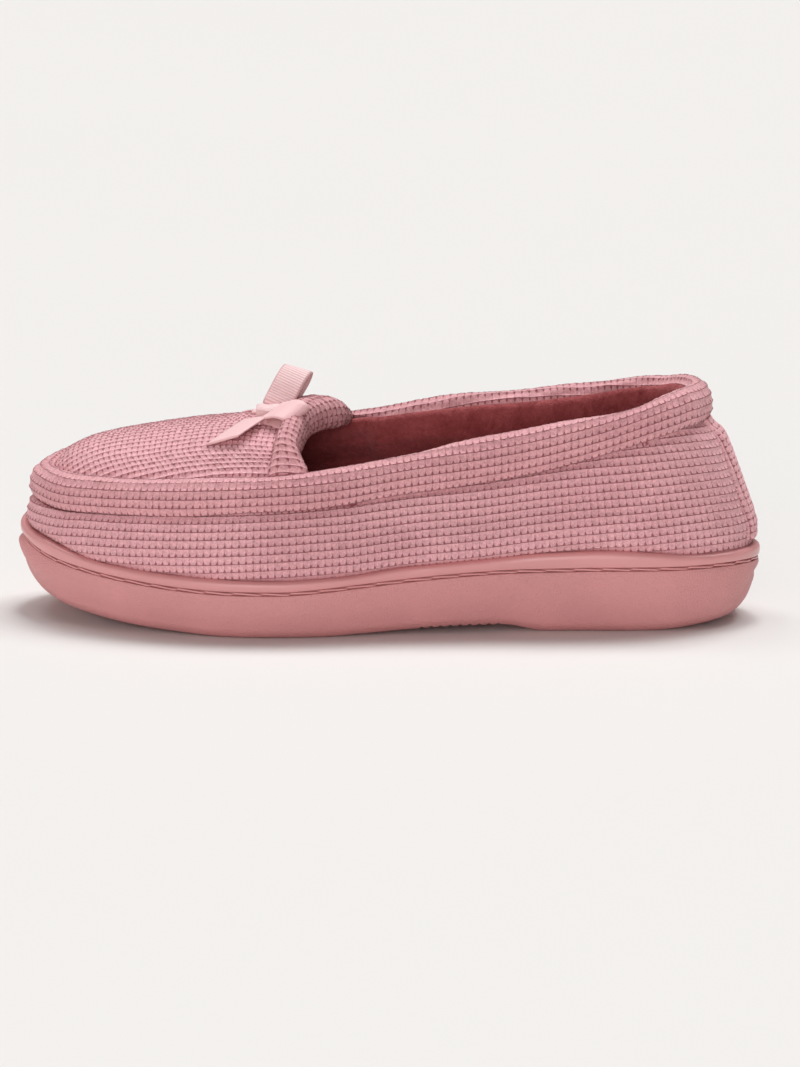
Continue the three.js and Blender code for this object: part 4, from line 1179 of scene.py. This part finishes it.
def feed(tree, sockets, values):
    """Links each value that is a node's output, and sets each plain one on its socket."""
    for name, value in values:
        if isinstance(value, bpy.types.NodeSocket):
            tree.links.new(value, sockets[name])
        else:
            sockets[name].default_value = value


def add(tree, kind, values=None, **settings):
    """Adds a node, sets its properties and feeds its inputs."""
    node = tree.nodes.new("ShaderNode" + kind)
    for name, value in settings.items():
        setattr(node, name, value)
    feed(tree, node.inputs, (values or {}).items())
    return node


def maths(tree, operation, *values, clamp=False):
    node = add(tree, "Math", operation=operation, use_clamp=clamp)
    feed(tree, node.inputs, enumerate(values))
    return node.outputs[0]


def times(tree, first, second):
    return maths(tree, "MULTIPLY", first, second)


def plus(tree, first, second):
    return maths(tree, "ADD", first, second)


def minus(tree, first, second):
    return maths(tree, "SUBTRACT", first, second)


def span(tree, value, low, high, to_low=0.0, to_high=1.0):
    """Runs smoothly from one value to another as the input crosses a range."""
    ranged = add(tree, "MapRange", {"Value": value, "From Min": low, "From Max": high,
                                    "To Min": to_low, "To Max": to_high},
                 interpolation_type="SMOOTHSTEP")
    return ranged.outputs["Result"]


def blend(tree, share, first, second):
    node = add(tree, "Mix", data_type="RGBA")
    feed(tree, node.inputs, ((0, share), (6, first), (7, second)))
    return node.outputs[2]


def noise(tree, place, scale, detail=2.0, **more):
    values = {"Vector": place, "Scale": scale, "Detail": detail, **more}
    return add(tree, "TexNoise", values).outputs["Fac"]


def object_place(tree):
    return add(tree, "TexCoord").outputs["Object"]


def cell_place(tree):
    return add(tree, "UVMap", uv_map="cells").outputs["UV"]


def shaded(colour, scale):
    return tuple(scale * value for value in colour[:3]) + (1.0,)


def effect(name, inputs, outputs):
    """An empty node group with named sockets. Gives its tree, its inputs and its outputs."""
    tree = bpy.data.node_groups.new(name, "ShaderNodeTree")
    for label, kind, value in inputs:
        socket = tree.interface.new_socket(name=label, in_out="INPUT",
                                           socket_type="NodeSocket" + kind)
        if value is not None:
            socket.default_value = value
    for label in outputs:
        tree.interface.new_socket(name=label, in_out="OUTPUT", socket_type="NodeSocketFloat")
    start = tree.nodes.new("NodeGroupInput")
    end = tree.nodes.new("NodeGroupOutput")
    return tree, start.outputs, end.inputs


def tuft_groove_shade_effect():
    """Painted shade of ribbed plush: dark lines in the grooves between ribs, and ticks that rise in
    the notches between tufts.
    """
    tree, start, end = effect(
        "tuft groove shade", [("Cells", "Vector", None), ("Line", "Float", 0.07)], ["Groove shade"])
    parts = add(tree, "SeparateXYZ", {"Vector": start["Cells"]}).outputs
    waver = noise(tree, start["Cells"], scale=1.7)
    waver = times(tree, minus(tree, waver, 0.5), 0.16)
    down = minus(tree, parts["Y"], waver)
    side = maths(tree, "PINGPONG", plus(tree, parts["X"], waver), 0.5)
    groove = span(tree, maths(tree, "PINGPONG", down, 0.5), 0.0, start["Line"], 1.0, 0.0)
    reach = span(tree, maths(tree, "FRACT", down), 0.45, 1.0, 0.0, 0.19)
    tick = maths(tree, "MULTIPLY_ADD", minus(tree, reach, side), 14.0, 0.3, clamp=True)
    seam = span(tree, side, 0.0, 0.07, 0.34, 0.0)
    ticks = maths(tree, "MAXIMUM", times(tree, tick, 0.85), seam)
    feed(tree, end, {"Groove shade": maths(tree, "MAXIMUM", groove, ticks)}.items())
    return tree


def pile_effect():
    """Short upright fibres: clumps of pile, and the fine fibres in them."""
    tree, start, end = effect(
        "pile", [("Place", "Vector", None), ("Clump", "Float", 900.0)], ["Shade", "Height"])
    clump = noise(tree, start["Place"], start["Clump"], Roughness=0.6)
    fine = times(tree, start["Clump"], 3.1)
    fibre = noise(tree, start["Place"], fine, detail=3.0, Roughness=0.7, Distortion=0.6)
    half = times(tree, fibre, 0.5)
    feed(tree, end, {"Shade": plus(tree, times(tree, clump, 0.5), half),
                     "Height": plus(tree, times(tree, clump, 0.6), half)}.items())
    return tree


def grain_effect():
    """Fine moulded grain: close pits and a few soft flow marks."""
    tree, start, end = effect(
        "moulded grain", [("Place", "Vector", None), ("Fineness", "Float", 2600.0)],
        ["Height", "Cloud"])
    place, fineness = start["Place"], start["Fineness"]
    pits = add(tree, "TexVoronoi", {"Vector": place, "Scale": fineness},
               feature="SMOOTH_F1").outputs["Distance"]
    feed(tree, end, {"Height": plus(tree, pits, noise(tree, place, fineness)),
                     "Cloud": noise(tree, place, scale=38.0, detail=3.0)}.items())
    return tree


# Mask of painted shade along the plush's rib grooves and tuft notches
GROOVE_SHADE = tuft_groove_shade_effect()
PILE = pile_effect()
GRAIN = grain_effect()


def use(tree, group, values):
    return add(tree, "Group", values, node_tree=group).outputs


def finish(name, **constants):
    """A material with its shader's plain values set on the shader itself."""
    material = bpy.data.materials.new(name)
    material.use_nodes = True
    tree = material.node_tree
    shader = tree.nodes["Principled BSDF"]
    for label, value in constants.items():
        shader.inputs[label.replace("_", " ")].default_value = value
    return material, tree, shader


def surface(tree, shader, colour, height, strength, distance):
    """Gives the shader its colour, and a relief from a height."""
    bump = add(tree, "Bump", {"Height": height, "Strength": strength, "Distance": distance})
    tree.links.new(colour, shader.inputs["Base Color"])
    tree.links.new(bump.outputs["Normal"], shader.inputs["Normal"])


def ribbed_plush(name, tuft, deep):
    material, tree, shader = finish(name, Roughness=0.92, Sheen_Weight=0.55, Sheen_Roughness=0.5,
                                    Sheen_Tint=tone(255, 212, 214), Specular_IOR_Level=0.15)
    place = object_place(tree)
    marks = use(tree, GROOVE_SHADE, {"Cells": cell_place(tree), "Line": 0.075})["Groove shade"]
    pile = use(tree, PILE, {"Place": place, "Clump": 1100.0})
    cloth = blend(tree, span(tree, pile["Shade"], 0.3, 0.7), shaded(tuft, 0.64), shaded(tuft, 1.08))
    broad = span(tree, noise(tree, place, scale=28.0), 0.35, 0.65, 0.0, 0.12)
    cloth = blend(tree, broad, cloth, deep)
    # Painted shade: the deep colour is laid along the rib grooves and tuft notches by the
    # groove-shade mask
    colour = blend(tree, times(tree, marks, 0.85), cloth, deep)
    height = minus(tree, times(tree, pile["Height"], 0.22), times(tree, marks, 0.35))
    surface(tree, shader, colour, height, strength=0.9, distance=0.0008)
    return material


def smooth_plush(name, light, deep):
    material, tree, shader = finish(name, Roughness=0.95, Sheen_Weight=0.35, Sheen_Roughness=0.45,
                                    Sheen_Tint=tone(255, 190, 190), Specular_IOR_Level=0.1)
    place = object_place(tree)
    pile = use(tree, PILE, {"Place": place, "Clump": 620.0})
    brushed = noise(tree, place, scale=150.0, detail=4.0, Distortion=1.2)
    shade = plus(tree, times(tree, pile["Shade"], 0.5), times(tree, brushed, 0.5))
    colour = blend(tree, span(tree, shade, 0.15, 0.85), deep, light)
    height = plus(tree, pile["Height"], brushed)
    surface(tree, shader, colour, height, strength=0.85, distance=0.0014)
    return material


def moulded_rubber(name, colour, strength, roughness, **constants):
    material, tree, shader = finish(name, **constants)
    grain = use(tree, GRAIN, {"Place": object_place(tree), "Fineness": 1900.0})
    cloud = grain["Cloud"]
    clouded = blend(tree, span(tree, cloud, 0.35, 0.65), shaded(colour, 0.94), colour)
    tree.links.new(span(tree, cloud, 0.3, 0.7, roughness - 0.05, roughness + 0.06),
                   shader.inputs["Roughness"])
    surface(tree, shader, clouded, grain["Height"], strength, distance=0.00025)
    return material


def grosgrain(name, light, deep, rib_depth):
    """Ribbon with close ribs across it and a plain edge."""
    material, tree, shader = finish(name, Sheen_Weight=0.15, Sheen_Roughness=0.4,
                                    Specular_IOR_Level=0.35)
    place = cell_place(tree)
    parts = add(tree, "SeparateXYZ", {"Vector": place}).outputs
    rib = times(tree, maths(tree, "PINGPONG", parts["X"], 0.45), 2.2)
    thread = noise(tree, place, scale=5.0, detail=3.0)
    edge = span(tree, maths(tree, "ABSOLUTE", parts["Y"]), 4.2, 4.7)
    ribs = times(tree, span(tree, rib, 0.0, 0.7), minus(tree, 1.0, edge))
    shade = plus(tree, times(tree, ribs, 0.7 * rib_depth), times(tree, thread, 0.4))
    tree.links.new(span(tree, thread, 0.3, 0.7, 0.42, 0.6), shader.inputs["Roughness"])
    height = plus(tree, ribs, times(tree, thread, 0.3))
    surface(tree, shader, blend(tree, shade, deep, light), height, 0.5 * rib_depth, 0.0003)
    return material


def studio_floor(name, colour):
    material, tree, shader = finish(name, Roughness=0.8, Specular_IOR_Level=0.1)
    paper = noise(tree, object_place(tree), scale=3.0)
    tree.links.new(blend(tree, paper, shaded(colour, 0.985), colour), shader.inputs["Base Color"])
    return material


# Studio

WHITE = tone(254, 255, 255)
# Name, way it comes from, angle of its disc, strength, colour
LIGHTS = [
    ("top light", (-0.05, -0.36, 1.0), 17, 1.6, WHITE),
    ("top light by the heel", (-0.42, -0.36, 1.0), 22, 1.15, WHITE),
    ("top light by the toe", (0.38, -0.36, 1.0), 22, 0.6, WHITE),
    ("front light", (0.12, 0.96, 0.12), 40, 1.6, tone(255, 238, 236)),
    ("toe light", (0.95, 0.3, 0.28), 40, 0.45, tone(255, 246, 245)),
]


def studio():
    bpy.ops.object.select_all(action="DESELECT")
    bpy.ops.mesh.primitive_plane_add(size=16)
    floor = bpy.context.object
    floor.name = "floor"
    floor.data.materials.append(studio_floor("floor paper", tone(222, 221, 219)))
    scene = bpy.context.scene
    scene.view_settings.view_transform = "Standard"
    world = scene.world or bpy.data.worlds.new("studio")
    scene.world = world
    world.use_nodes = True
    sky = world.node_tree.nodes["Background"]
    sky.inputs["Color"].default_value = tone(254, 246, 245)
    sky.inputs["Strength"].default_value = 0.18
    for name, way, softness, power, colour in LIGHTS:
        bpy.ops.object.light_add(type="SUN", location=(0, 0, 2))
        lamp = bpy.context.object
        lamp.name = name
        lamp.data.angle = math.radians(softness)
        lamp.data.energy = power
        lamp.data.color = colour[:3]
        lamp.rotation_mode = "QUATERNION"
        lamp.rotation_quaternion = Vector(way).to_track_quat("Z", "Y")


FRAME_HEIGHT = 1067              # of the picture, in pixels
FOCAL_LENGTH = 5925              # in the same pixels
SENSOR = 36
AIM = (-3.6, 0, 27.0)


def camera():
    """Where the picture was taken from: two metres off the outer side, 12 degrees up."""
    rise, turn, distance = math.radians(12), math.radians(2), 2.0
    level = math.cos(rise)
    back = Vector((-math.sin(turn) * level, math.cos(turn) * level, math.sin(rise)))
    data = bpy.data.cameras.new("camera")
    lens = bpy.data.objects.new("camera", data)
    bpy.context.collection.objects.link(lens)
    data.sensor_width = SENSOR
    data.lens = FOCAL_LENGTH / FRAME_HEIGHT * SENSOR
    data.clip_start, data.clip_end = 0.1, 30
    lens.location = Vector(AIM) * MM + back * distance
    lens.rotation_mode = "QUATERNION"
    lens.rotation_quaternion = (-back).to_track_quat("-Z", "Y")
    bpy.context.scene.camera = lens


camera()
studio()
# Each ribbed plush's deep tone is painted shade in its grooves and notches, and also tints its
# broad random patches
plush = ribbed_plush("ribbed plush", tone(244, 190, 196), tone(140, 58, 68))
band_plush = ribbed_plush("ribbed plush of the band", tone(235, 179, 184), tone(130, 50, 60))
inner_plush = smooth_plush("plush lining", tone(186, 100, 102), tone(124, 46, 48))
rubber = moulded_rubber("smooth rubber", tone(216, 152, 152), 0.05, 0.36, Coat_Weight=0.4,
                        Coat_Roughness=0.3)
grained = moulded_rubber("grained rubber", tone(214, 151, 151), 0.9, 0.56)
ribbon = grosgrain("grosgrain ribbon", tone(248, 219, 220), tone(212, 168, 170), 1.0)
smooth_ribbon = grosgrain("smooth side of the ribbon", tone(252, 216, 217), tone(232, 188, 190),
                          0.12)

side_panel(plush)
toe_plug(plush)
lining(inner_plush)
padded_band(band_plush)
throat_cuff(band_plush)
heel_strip(plush)
sole(rubber, grained)
sole_stitches(rubber)
insole(inner_plush)
bow_wrap(ribbon)
bow(ribbon, smooth_ribbon)
